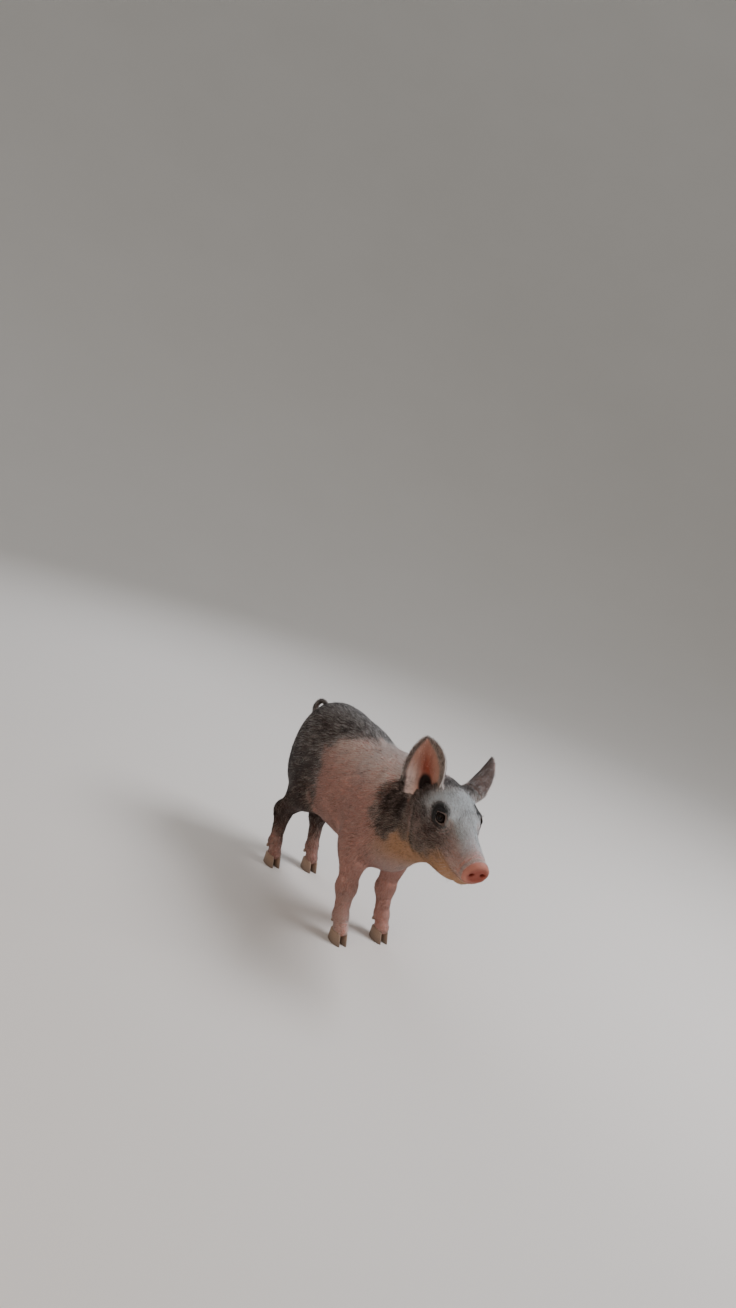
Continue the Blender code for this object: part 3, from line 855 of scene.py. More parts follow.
class Places:
    """What a set of points and normals of the hide lies on, as shares and local places."""

    def __init__(self, body: Body, points: Array, normals: Array) -> None:
        """Read every part once.

        Args:
            body: the animal.
            points: points of the hide.
            normals: the hide's normals there.
        """
        self.body, self.points, self.normals = body, points, normals
        self.local = HEAD.read(points)
        self.side = np.sign(points[:, 1] + 1e-9)
        self.ear, self.inside, self.share = (np.zeros(len(points)) for _ in range(3))
        self.rim = np.full(len(points), -1.0)
        self.ear_across = np.zeros(len(points))
        for ear in body.ears:
            local = ear.setting.read(points)
            share, outside, rim, _ = ear.measure(local)
            near = (np.abs(outside) < 0.0045) & (rim < 0.004)
            on = eased(local[:, 0], 0.006, 0.018) * near
            hollow = (np.abs(outside) < 0.010) & (rim < 0.0) & (local[:, 0] > -0.012)
            looks = normals @ ear.setting.axes[:, 2] > 0.0
            low_hollow = hollow & looks & (share < 0.3)
            self.inside = np.maximum(self.inside, low_hollow | (on * looks > 0))
            self.ear = np.maximum(self.ear, on)
            self.share = np.where(near | hollow, share, self.share)
            self.rim = np.where(near | hollow, rim, self.rim)
            self.ear_across = np.where(near | hollow, local[:, 1] * ear.side.value, self.ear_across)
        self.head = eased(self.local[:, 0], -0.030, 0.020) * (1 - self.ear)
        self.leg = eased(-points[:, 2], -0.185, -0.140) * (points[:, 0] < 0.19)
        near, self.tail_share = to_path(points, body.tail.path)
        self.tail = ((near < 0.011) & (points[:, 0] < -0.197)).astype(float)

    def eye(self) -> tuple[Array, Array]:
        """Distance from the nearer eye's middle, and the angle past its lids' edge."""
        away = np.full(len(self.points), 1.0)
        edge = np.full(len(self.points), 1.0)
        for eye in self.body.head.eyes:
            local = eye.setting.read(self.points)
            far = np.linalg.norm((local + (0.0022, 0.0, 0.0)) * (0.88, 1.0, 1.0), axis=1)
            edge = np.where(far < away, eye.lid_edge(*angles(local)), edge)
            away = np.minimum(far, away)
        return away, edge

    def ear_band(self, low: float, high: float) -> Array:
        """The band along the ear's edge; it is wider on the tightly curled side."""
        return eased(self.rim + 0.010 * self.tight, low, high)

    @property
    def tight(self) -> Array:
        """1 on the tightly curled side of the ear, 0 on the other."""
        return eased(self.ear_across, 0.0, 0.012)

    @property
    def lobe(self) -> Array:
        """The pale lobe low on the ear's open side."""
        return hump(self.ear_across, -0.022, 0.015) * (1 - eased(self.share, 0.15, 0.62))

    @property
    def canal(self) -> Array:
        """How far out in the ear's canal a place lies: about 1 at its edge."""
        return np.hypot((self.ear_across - 0.008) / 0.0115, (self.share - 0.10) / 0.20)

    @property
    def edging(self) -> Array:
        """The outermost edge of the ear, above its base."""
        return eased(self.rim, -0.0025, -0.0005) * eased(self.share, 0.08, 0.25)

    def eye_patch(self) -> Array:
        """How far out in the dark oval round the nearer eye: 1 at its edge."""
        nearest = np.full(len(self.points), 9.0)
        for eye in self.body.head.eyes:
            local = eye.setting.read(self.points) + (0.0046, 0.0006, 0.0)
            share = np.linalg.norm(local / (0.0232, 0.0180, 0.0210), axis=1)
            nearest = np.minimum(nearest, share)
        return nearest


# ------------------------------------------------------------------ markings
@dataclass(frozen=True)
class Markings:
    """The coat's pattern: slate patches with roan edges on pink, over hide and hair alike."""

    pink: str = "#a97469"
    rosy: str = "#ba8172"
    # painted warm bounce light, laid over the pink under the head
    cream: str = "#b98c68"
    slate: str = "#4b4644"
    soot: str = "#241f1e"
    brown: str = "#43302a"
    ear_red: str = "#86402f"
    disc: str = "#9c5345"
    frost: str = "#8e9394"
    bridge_top: str = "#b58c88"
    bridge_side: str = "#93685a"
    # painted shade for the mouth's crease
    mouth_line: str = "#4a261a"
    ear_skin: str = "#ae8677"
    ear_blotch: str = "#9b7769"
    lobe: str = "#dcc5bf"
    ear_grey: str = "#554d48"
    ear_pale: str = "#857a73"
    ear_rim: str = "#a39a96"
    # painted shade: the near black laid deep in the ear's canal
    hollow: str = "#060303"
    disc_rim: str = "#b27a6b"
    nostril: str = "#75291e"
    # painted shade for the crease behind the snout's disc
    snout_fold: str = "#6e3a2f"
    socket: str = "#0b0706"
    lid: str = "#75655f"
    rosy_hair: tuple[str, str] = ("#a97367", "#c79a8c")
    white_hair: tuple[str, str] = ("#cdb7af", "#ece5e0")
    grey_hair: tuple[str, str] = ("#85807c", "#cfcdca")
    black_hair: tuple[str, str] = ("#1d1a1b", "#645e5b")
    tan_hair: str = "#c99a6c"
    # painted warm bounce light on the hair under the head
    dun_hair: str = "#93806f"
    frost_hair: str = "#d5dcde"
    brown_hair: str = "#33241d"
    socket_hair: str = "#0d0908"
    ear_white: str = "#e6e2de"

    def dark(self, places: Places) -> Array:
        """How much of the hair is dark, from 0 to 1.

        The rump's edge is a line whose x varies with height; neck and brow patches are soft
        ovals. Noise of 35 mm and 9 mm moves and breaks the edges, which makes the roan.

        Args:
            places: points of the hide, read.

        Returns:
            One share for each point.
        """
        points = places.points
        forward, left, up = places.local.T
        rough = 0.012 * value_noise(points, 0.035, 11) + 0.006 * value_noise(points, 0.012, 12)
        edge = np.interp(points[:, 2], (0.10, 0.207, 0.263, 0.300, 0.332, 0.357, 0.372),
                         (-0.070, -0.034, -0.032, -0.052, -0.016, 0.018, 0.034))
        edge = edge + np.where(places.side > 0, 0.020 * np.sin(points[:, 2] * 40), 0.0)
        rump = eased(edge - points[:, 0] + rough, -0.028, 0.034)
        lower = eased(points[:, 2] + rough, 0.055, 0.110)
        rump *= np.where(points[:, 0] < -0.03, 0.35 + 0.65 * lower, lower)
        across = np.where(places.side > 0, 0.006, 0.0)
        neck = np.hypot((points[:, 0] - 0.171 - across) / 0.033, (points[:, 2] - 0.284) / 0.043)
        neck = 1 - eased(neck + rough * 26, 0.55, 1.28)
        neck *= eased(np.abs(points[:, 1]), 0.020, 0.040)
        behind_ear = np.hypot((forward + 0.020) / 0.022, (up + 0.004) / 0.026)
        behind_ear = (1 - eased(behind_ear, 0.65, 1.20)) * eased(np.abs(left), 0.020, 0.030)
        neck = np.maximum(neck, behind_ear)
        chin = np.interp(forward, (0.01, 0.04, 0.08, 0.115, 0.157, 0.180),
                         (-0.066, -0.058, -0.052, -0.026, 0.004, 0.016))
        face = eased(up - chin + rough, -0.026, 0.024) * eased(forward + rough, -0.022, 0.0)
        stripe = hump(forward, places.body.head.jowl(up), 0.0050)
        stripe = stripe * eased(np.abs(left), 0.022, 0.034) * eased(-up, -0.02, 0)
        face *= 1 - 0.35 * stripe
        white = eased(up, 0.008, 0.030) * eased(forward, 0.010, 0.048)
        beside = eased(-places.normals @ HEAD.axes[:, 2], -0.80, -0.20)
        white = np.maximum(white, eased(forward, 0.085, 0.130) * (1 - 0.40 * beside))
        cheek = hump(forward, 0.045, 0.035) * hump(up, -0.030, 0.026)
        face *= 0.82 - 0.72 * white - 0.36 * cheek * (1 - white)
        socket = 1 - eased(places.eye_patch() + rough * 12, 0.82, 1.22)
        face = np.maximum(face, 0.96 * socket)
        dark = np.maximum(np.maximum(rump, neck), face * (places.head > 0.02))
        band = places.ear_band(-0.0135, -0.0070) * (1 - 0.40 * places.tight)
        inner = (0.08 + 0.70 * band) * (1 - 0.8 * places.lobe)
        ear_dark = np.where(places.inside > 0.5, inner, 0.80)
        ear_dark = ear_dark * (1 - 0.85 * places.edging)
        dark = dark * (1 - places.ear) + ear_dark * places.ear
        dark = np.where(forward > 0.179, 0.0, dark)
        pale = hump(points[:, 2], 0.262, 0.020) * hump(points[:, 0], 0.165, 0.040)
        dark = dark * (1 - 0.25 * pale * (1 - places.ear))
        return np.clip(dark, 0.0, 1.0)

    def frosted(self, places: Places) -> Array:
        """The white blaze, from 0 to 1: over the forehead, then along the bridge of the nose."""
        forward, up = places.local[:, 0], places.local[:, 2]
        crown = eased(places.normals @ HEAD.axes[:, 2], 0.30, 0.75) * eased(forward, 0.060, 0.095)
        brow = eased(up, 0.004, 0.026) * eased(forward, 0.008, 0.045)
        blaze = np.maximum(brow * (1 - eased(forward, 0.085, 0.130)), crown)
        return blaze * (1 - eased(forward, 0.150, 0.174)) * places.head

    def hide(self, places: Places) -> Array:
        """The hide's colour at each point: pink skin, slate where the hair is dark."""
        points, forward, up = places.points, places.local[:, 0], places.local[:, 2]
        dark = self.dark(places)
        mottle = 0.5 + 0.5 * value_noise(points, 0.020, 21)
        colour = mixed(linear(self.pink), linear(self.rosy), mottle)
        # painted warm bounce light: the pink turns cream under the head, the throat and the jaw
        bounce_warmth = eased(forward, -0.030, 0.020) * eased(-up, 0.030, 0.060)
        bounce_warmth = np.maximum(bounce_warmth, eased(forward, 0.060, 0.110) * eased(-up, 0.010, 0.026))
        bounce_warmth = bounce_warmth * eased(points[:, 2], 0.175, 0.225)
        colour = mixed(colour, linear(self.cream), 0.85 * bounce_warmth)
        clump = value_noise(points, 0.011, 22) + 0.6 * value_noise(points, 0.005, 23)
        clump = eased(clump, -0.1, 0.5)
        slate = mixed(linear(self.slate), linear(self.soot), clump * 0.8)
        low = eased(-points[:, 2], -0.270, -0.200) * (points[:, 0] < 0.05)
        slate = mixed(slate, linear(self.brown), 0.75 * low)
        colour = mixed(colour, slate, np.clip(dark * 0.92, 0, 1))
        frosted = self.frosted(places)
        colour = mixed(colour, linear(self.frost), 0.85 * frosted)
        muzzle = eased(forward, 0.115, 0.165) * (up > -0.02)
        beside = eased(-places.normals @ HEAD.axes[:, 2], -0.75, -0.25)
        bridge = mixed(linear(self.bridge_top), linear(self.bridge_side), beside)
        colour = mixed(colour, bridge, 0.65 * muzzle * places.head)
        line, gate = places.body.head.mouth(forward)
        # painted shade along the crease of the mouth
        crease = hump(up, line, 0.0016) * gate * places.head
        colour = mixed(colour, linear(self.mouth_line), 0.75 * crease)
        inner = places.inside
        across, share = places.ear_across, places.share
        blotch = 0.5 + 0.5 * value_noise(points, 0.009, 26)
        core = hump(across, 0.0065, 0.0135) * (1 - 0.75 * eased(share, 0.45, 0.95))
        red = mixed(linear(self.ear_skin), linear(self.ear_blotch), blotch)
        red = mixed(red, linear(self.ear_red), np.clip(core * (0.80 + 0.30 * blotch), 0, 1))
        red = mixed(red, linear(self.lobe), 0.95 * places.lobe)
        edge = mixed(linear(self.ear_grey), linear(self.ear_pale), places.tight)
        red = mixed(red, edge, 0.85 * places.ear_band(-0.0135, -0.0060))
        red = mixed(red, linear(self.ear_rim), eased(places.rim, -0.0030, -0.0010))
        colour = mixed(colour, red, inner)
        # painted shade: the ear's canal darkened almost to black towards its middle
        deep = 1 - eased(places.canal, 0.75, 1.25)
        colour = mixed(colour, linear(self.hollow), 0.98 * inner * deep)
        disc = eased(forward, 0.177, 0.181)
        oval = places.body.head.oval(places.local[:, 1], up)
        pad = mixed(linear(self.disc), linear(self.disc_rim), eased(oval, 0.65, 1.0) * 0.8)
        colour = mixed(colour, pad, disc)
        holes = np.hypot((np.abs(places.local[:, 1]) - 0.0098) / 0.0052, (up - 0.0008) / 0.0034)
        colour = mixed(colour, linear(self.nostril), disc * (1 - eased(holes, 0.55, 1.35)))
        # painted shade: a dark band in the crease behind the disc's rim
        behind = hump(forward, 0.1725, 0.0045) * eased(up, -0.012, 0.006) * places.head
        colour = mixed(colour, linear(self.snout_fold), 0.60 * behind)
        away, edge = places.eye()
        rim = (1 - eased(edge, 0.04, 0.11)) * (away < 0.016)
        patch = places.eye_patch() + 0.12 * value_noise(points, 0.006, 25)
        fold = (1 - eased(patch, 0.66, 1.05)) * (1 - rim)
        colour = mixed(colour, linear(self.socket), 0.96 * fold)
        colour = mixed(colour, linear(self.lid), 0.90 * rim)
        return colour

    def hair(self, places: Places, chance: Array) -> Array:
        """The colour of each tuft: dark or white by chance, as the markings say, with a painted
        sheen.

        Args:
            places: the tufts' roots, read.
            chance: random numbers from 0 to 1, four for each tuft.

        Returns:
            One linear colour for each tuft.
        """
        points, forward, up = places.points, places.local[:, 0], places.local[:, 2]
        clump = value_noise(points, 0.010, 22) + 0.5 * value_noise(points, 0.004, 24)
        dark = self.dark(places)
        # painted sheen: hair that faces up is drawn whiter, as light catches it; less on the legs,
        # at least 0.55 over the head
        lit = eased(places.normals[:, 2], 0.05, 0.75)
        spine = eased(places.normals[:, 2], 0.80, 0.97) * (1 - places.head)
        roan = 0.90 - 0.16 * eased(points[:, 2], 0.22, 0.30) * (points[:, 0] < 0.06) - 0.22 * spine
        socket = 1 - eased(places.eye_patch(), 0.82, 1.12)
        high = eased(points[:, 2], 0.275, 0.310) * hump(points[:, 0], 0.165, 0.050)
        picked = chance[:, 0] + 0.20 * clump < dark * (roan + 0.12 * high) + 0.3 * socket
        lit = np.maximum(lit * (1 - 0.75 * places.leg), 0.55 * places.head)
        rosy = mixed(*map(linear, self.rosy_hair), chance[:, 1])
        white = mixed(*map(linear, self.white_hair), chance[:, 1])
        white = mixed(rosy, white, np.clip(0.20 + 1.0 * lit + 0.4 * (chance[:, 2] - 0.5), 0, 1))
        # painted warm bounce light: the pale hair turns tan under the head and the jaw
        bounce_warmth = eased(forward, -0.030, 0.020) * eased(-up, 0.025, 0.055)
        bounce_warmth = np.maximum(bounce_warmth, eased(forward, 0.060, 0.100) * eased(-up, 0.010, 0.026))
        white = mixed(white, linear(self.tan_hair), 0.80 * bounce_warmth * eased(points[:, 2], 0.175, 0.225))
        brown = places.head * eased(-up, -0.015, 0.020)
        brown = np.maximum(brown, 1 - eased(points[:, 2], 0.17, 0.25))
        brown = np.maximum(brown, hump(points[:, 0], 0.171, 0.045))
        grey = mixed(*map(linear, self.grey_hair), chance[:, 1])
        grey = mixed(grey, linear(self.dun_hair), 0.55 * brown)
        frosted = self.frosted(places)
        grey = mixed(grey, linear(self.frost_hair), 0.88 * frosted)
        greyed = eased(dark + 0.25 * (chance[:, 2] - 0.5), 0.15, 0.50)
        white = mixed(white, grey, np.maximum(greyed, frosted))
        black = mixed(*map(linear, self.black_hair), chance[:, 3] ** 1.5)
        black = mixed(black, linear(self.brown_hair), 0.70 * brown)
        black = mixed(black, linear(self.socket_hair), 0.92 * socket)
        white = mixed(white, linear(self.ear_white), 0.85 * places.ear * places.edging)
        return np.where(picked[:, None], black, white)


# ------------------------------------------------------------------ materials
def wire(tree: bpy.types.NodeTree, node: bpy.types.Node, settings: dict, links: dict) -> None:
    """Set a node's values and link what feeds it.

    Args:
        tree: the material's node tree.
        node: the node.
        settings: properties by name, and socket values by name or number.
        links: for each socket, the output that feeds it.
    """
    for key, value in settings.items():
        if isinstance(key, str) and hasattr(node, key):
            setattr(node, key, value)
        else:
            node.inputs[key].default_value = value
    for key, output in links.items():
        tree.links.new(output, node.inputs[key])


def add(tree: bpy.types.NodeTree, kind: str, settings: dict, links: dict) -> bpy.types.Node:
    """Add a node of a kind, set and linked as wire does, and return it."""
    node = tree.nodes.new(kind)
    wire(tree, node, settings, links)
    return node


def opaque(colour: str) -> tuple[float, float, float, float]:
    """A hex colour as a node socket takes it."""
    return (*linear(colour), 1.0)


@dataclass(frozen=True)
class Finish:
    """A material built by its own nodes."""

    name: str

    def nodes(self, tree: bpy.types.NodeTree, shader: bpy.types.Node) -> None:
        """Dress the shader; each finish says how."""

    def make(self) -> bpy.types.Material:
        """The finish as a material."""
        finish = bpy.data.materials.get(self.name) or bpy.data.materials.new(self.name)
        finish.use_nodes = True
        tree = finish.node_tree
        tree.nodes.clear()
        shader = add(tree, "ShaderNodeBsdfPrincipled", {}, {})
        add(tree, "ShaderNodeOutputMaterial", {}, {"Surface": shader.outputs["BSDF"]})
        self.nodes(tree, shader)
        return finish

    def dress(self, thing: bpy.types.Object) -> None:
        """Put the finish on an object, in place of what is there."""
        thing.data.materials.clear()
        thing.data.materials.append(self.make())


@dataclass(frozen=True)
class PigSkin(Finish):
    """Living pig skin: soft and slightly oily, with pores and the grain of fine lying hair."""

    name: str = "pig_skin"
    hair_grain: float = 0.0011  # across the fine hairs, in metres, drawn coarser than life
    hair_length: float = 0.012
    pore: float = 0.0016
    streak_colour: str = "#d8cbc6"

    def nodes(self, tree: bpy.types.NodeTree, shader: bpy.types.Node) -> None:
        """Streaks run back along the trunk and down the legs; pores break the gloss."""
        place = add(tree, "ShaderNodeTexCoord", {}, {}).outputs["Object"]
        across, along = 0.5 / self.hair_grain, 0.5 / self.hair_length
        streaks = []
        for scale in ((along, across, across), (across, across, along)):
            turned_place = add(tree, "ShaderNodeMapping", {"Scale": scale}, {"Vector": place})
            settings = {"Scale": 1.0, "Detail": 3.0, "Roughness": 0.6}
            grain = add(tree, "ShaderNodeTexNoise", settings, {"Vector": turned_place.outputs[0]})
            streaks.append(grain.outputs["Fac"])
        upright = add(tree, "ShaderNodeAttribute", {"attribute_name": "upright"}, {})
        streak = add(
            tree, "ShaderNodeMix", {"data_type": "FLOAT"},
            {0: upright.outputs["Fac"], 2: streaks[0], 3: streaks[1]},
        ).outputs[0]
        base = add(tree, "ShaderNodeAttribute", {"attribute_name": "markings"}, {})
        light = add(
            tree, "ShaderNodeMapRange",
            {"From Min": 0.42, "From Max": 0.70, "To Min": 0.0, "To Max": 0.30}, {"Value": streak},
        )
        hairy = add(tree, "ShaderNodeAttribute", {"attribute_name": "hairy"}, {})
        share = add(
            tree, "ShaderNodeMath", {"operation": "MULTIPLY"},
            {0: light.outputs[0], 1: hairy.outputs["Fac"]},
        )
        pores = add(
            tree, "ShaderNodeTexNoise", {"Scale": 1 / self.pore, "Detail": 4.0}, {"Vector": place}
        )
        tone = add(
            tree, "ShaderNodeMix", {"data_type": "RGBA", 7: opaque(self.streak_colour)},
            {0: share.outputs[0], 6: base.outputs["Color"]},
        ).outputs[2]
        blotch = add(tree, "ShaderNodeTexNoise", {"Scale": 160.0, "Detail": 2.0}, {"Vector": place})
        shade = add(
            tree, "ShaderNodeMapRange", {"To Min": 0.82, "To Max": 1.14},
            {"Value": blotch.outputs["Fac"]},
        )
        tone = add(
            tree, "ShaderNodeVectorMath", {"operation": "SCALE"},
            {0: tone, "Scale": shade.outputs[0]},
        ).outputs[0]
        gloss = add(
            tree, "ShaderNodeMapRange", {"To Min": 0.42, "To Max": 0.62},
            {"Value": pores.outputs["Fac"]},
        )
        height = add(
            tree, "ShaderNodeBump", {"Strength": 0.45, "Distance": 0.0006},
            {"Height": pores.outputs["Fac"]},
        )
        height = add(
            tree, "ShaderNodeBump", {"Strength": 0.60, "Distance": 0.0009},
            {"Height": streak, "Normal": height.outputs[0]},
        )
        wire(
            tree, shader,
            {"Subsurface Weight": 0.10, "Subsurface Radius": (1.0, 0.35, 0.2),
             "Subsurface Scale": 0.004, "Specular IOR Level": 0.15},
            {"Base Color": tone, "Roughness": gloss.outputs[0], "Normal": height.outputs[0]},
        )


@dataclass(frozen=True)
class Bristle(Finish):
    """Pig's bristle: stiff keratin hair with a satin gloss, paler towards its split tip."""

    name: str = "bristle"

    def nodes(self, tree: bpy.types.NodeTree, shader: bpy.types.Node) -> None:
        """Each tuft has its own colour, broken by a fine noise."""
        colour = add(tree, "ShaderNodeAttribute", {"attribute_name": "hair_colour"}, {})
        place = add(tree, "ShaderNodeTexCoord", {}, {}).outputs["Object"]
        fine = add(tree, "ShaderNodeTexNoise", {"Scale": 500.0, "Detail": 1.0}, {"Vector": place})
        shade = add(
            tree, "ShaderNodeMapRange", {"To Min": 0.85, "To Max": 1.12},
            {"Value": fine.outputs["Fac"]},
        )
        tone = add(
            tree, "ShaderNodeVectorMath", {"operation": "SCALE"},
            {0: colour.outputs["Color"], "Scale": shade.outputs[0]},
        )
        settings = {"Roughness": 0.50, "Specular IOR Level": 0.17}
        wire(tree, shader, settings, {"Base Color": tone.outputs[0]})


@dataclass(frozen=True)
class WetEye(Finish):
    """A wet eyeball: clear cornea over a dark brown iris and a black pupil."""

    name: str = "wet_eye"
    stops: tuple[tuple[float, str], ...] = (
        (0.0, "#010101"), (0.36, "#020202"), (0.44, "#20120b"), (0.66, "#160c07"),
        (0.78, "#070403"), (0.90, "#160e0c"), (1.0, "#2a1c19"),
    )

    def nodes(self, tree: bpy.types.NodeTree, shader: bpy.types.Node) -> None:
        """Rings of colour by the angle from the gaze, with fibres in the iris."""
        angle = add(tree, "ShaderNodeAttribute", {"attribute_name": "from_gaze"}, {}).outputs["Fac"]
        place = add(tree, "ShaderNodeTexCoord", {}, {}).outputs["Object"]
        fibres = add(tree, "ShaderNodeTexNoise", {"Scale": 900.0, "Detail": 3.0}, {"Vector": place})
        wavering = add(
            tree, "ShaderNodeMath", {"operation": "MULTIPLY_ADD", 1: 0.10},
            {0: fibres.outputs["Fac"], 2: angle},
        )
        ramp = add(tree, "ShaderNodeValToRGB", {}, {"Fac": wavering.outputs[0]})
        ramp.color_ramp.elements[0].color = opaque(self.stops[0][1])
        ramp.color_ramp.elements[1].color = opaque(self.stops[-1][1])
        for position, colour in self.stops[1:-1]:
            ramp.color_ramp.elements.new(position).color = opaque(colour)
        settings = {"Roughness": 0.04, "IOR": 1.34, "Specular IOR Level": 0.30}
        wire(tree, shader, settings, {"Base Color": ramp.outputs["Color"]})


@dataclass(frozen=True)
class Horn(Finish):
    """Hoof horn: keratin grown in rings, rubbed dull, darker and greyer towards the ground."""

    name: str = "hoof_horn"
    ring: float = 0.0021  # metres between growth rings
    ring_colours: tuple[str, str] = ("#836c5b", "#9a826f")
    soil: str = "#5b4f47"
    soil_top: float = 0.016  # height that the darkening reaches

    def nodes(self, tree: bpy.types.NodeTree, shader: bpy.types.Node) -> None:
        """Rings lie level, wavering with a noise; the colour greys towards the sole."""
        place = add(tree, "ShaderNodeTexCoord", {}, {}).outputs["Object"]
        rings = add(
            tree, "ShaderNodeTexWave",
            {"bands_direction": "Z", "Scale": 0.314 / self.ring, "Distortion": 2.0,
             "Detail": 2.0, "Detail Scale": 1.5},
            {"Vector": place},
        )
        tone = add(
            tree, "ShaderNodeMix",
            {"data_type": "RGBA", 6: opaque(self.ring_colours[0]), 7: opaque(self.ring_colours[1])},
            {0: rings.outputs["Fac"]},
        ).outputs[2]
        height = add(tree, "ShaderNodeSeparateXYZ", {}, {0: place}).outputs["Z"]
        low = add(
            tree, "ShaderNodeMapRange",
            {"From Min": 0.0, "From Max": self.soil_top, "To Min": 0.7, "To Max": 0.0},
            {"Value": height},
        )
        tone = add(
            tree, "ShaderNodeMix", {"data_type": "RGBA", 7: opaque(self.soil)},
            {0: low.outputs[0], 6: tone},
        ).outputs[2]
        relief = add(
            tree, "ShaderNodeBump", {"Strength": 0.5, "Distance": 0.0005},
            {"Height": rings.outputs["Fac"]},
        )
        links = {"Base Color": tone, "Normal": relief.outputs[0]}
        wire(tree, shader, {"Roughness": 0.52}, links)


@dataclass(frozen=True)
class PaintedFloor(Finish):
    """Matt painted studio floor, pale and even."""

    name: str = "studio_floor"
    tones: tuple[str, str] = ("#d9d6d1", "#dedbd7")

    def nodes(self, tree: bpy.types.NodeTree, shader: bpy.types.Node) -> None:
        """One pale colour with a very slight unevenness."""
        place = add(tree, "ShaderNodeTexCoord", {}, {}).outputs["Object"]
        cloud = add(tree, "ShaderNodeTexNoise", {"Scale": 1.5, "Detail": 2.0}, {"Vector": place})
        tone = add(
            tree, "ShaderNodeMix",
            {"data_type": "RGBA", 6: opaque(self.tones[0]), 7: opaque(self.tones[1])},
            {0: cloud.outputs["Fac"]},
        )
        wire(tree, shader, {"Roughness": 0.85}, {"Base Color": tone.outputs[2]})


# ------------------------------------------------------------------ the hide
@dataclass
class Hide:
    """The one skin: the field's surface with its folds, coloured by the markings.

    On this grid it has about 294,000 triangles, more than one piece should have.
    """

    body: Body
    markings: Markings
    points: Array = field(default_factory=lambda: np.zeros((0, 3)))
    normals: Array = field(default_factory=lambda: np.zeros((0, 3)))
    heights: Array = field(default_factory=lambda: np.zeros(0))
    triangles: Array = field(default_factory=lambda: np.zeros((0, 3), int))

    def build(self) -> bpy.types.Object:
        """Mesh the field, move its points along their normals by the folds, and colour it."""
        points, polygons = self.body.field().surface()
        self.normals, self.heights = point_normals(points, polygons), self.body.folds(points)
        points = points + self.normals * self.heights[:, None]
        self.points = points
        quads = polygons[0]
        self.triangles = np.concatenate((quads[:, (0, 1, 2)], quads[:, (0, 2, 3)], *polygons[1:]))
        skin = make_object("hide", points, polygons)
        places = Places(self.body, self.points, self.normals)
        paint(skin, "markings", self.markings.hide(places))
        rate(skin, "upright", places.leg)
        bare = np.maximum(places.inside, eased(places.local[:, 0], 0.172, 0.180))
        bare = np.maximum(bare, 1 - eased(places.eye()[0], 0.0180, 0.0230))
        rate(skin, "hairy", 1 - bare)
        PigSkin().dress(skin)
        return skin


# ------------------------------------------------------------------ the coat
@dataclass
class Tufts:
    """Locks of hair given by roots, lie, size and colour, made into one closed mesh each.

    A lock is a three-sided spike from a small triangle at the root to its tip.
    """

    roots: Array
    lie: Array
    normals: Array
    lengths: Array
    widths: Array
    lifts: Array
    colours: Array
    atlas: Array

    def __len__(self) -> int:
        """Number of locks."""
        return len(self.roots)

    def part(self, chosen: Array) -> "Tufts":
        """Some of the locks."""
        return Tufts(*(getattr(self, name)[chosen] for name in self.__dataclass_fields__))

    def build(self, name: str) -> bpy.types.Object:
        """Lay the locks as a mesh, with their colours and their patches on the atlas.

        A lock starts a little under the hide, and its tip stands off it by its lift.

        Args:
            name: the object's name.

        Returns:
            The linked object.
        """
        side = np.cross(self.lie, self.normals)
        long, half, lift = (part[:, None] for part in (self.lengths, self.widths / 2, self.lifts))
        root = self.roots - self.normals * ROOT_DEPTH
        tip = self.roots + self.lie * long + self.normals * lift
        spike = (root - side * half, root + side * half, root + self.normals * half * 1.2, tip)
        first = np.arange(len(self))[:, None] * 4
        sides = np.array((0, 2, 3, 2, 1, 3, 1, 0, 3, 2, 0, 1))
        faces = (first + sides).reshape(-1, 3)
        coat = make_object(name, np.stack(spike, 1).reshape(-1, 3), [faces])
        shades = np.array(LOCK_SHADES)
        colours = np.clip(self.colours[:, None, :] * shades[None, :, None], 0, 1)
        paint(coat, "hair_colour", colours.reshape(-1, 3))
        patch = LOCK_PATCH * np.array(((0, 0), (1, 0), (0.5, 0.3), (0.5, 1)))
        spots = (self.atlas[:, None, :] + patch[None]).reshape(-1, 2)
        corners = np.empty(len(coat.data.loops), dtype=np.int32)
        coat.data.loops.foreach_get("vertex_index", corners)
        layer = coat.data.uv_layers.new(name="OFBake")
        layer.uv.foreach_set("vector", spots[corners].astype(np.float32).ravel())
        Bristle().dress(coat)
        return coat


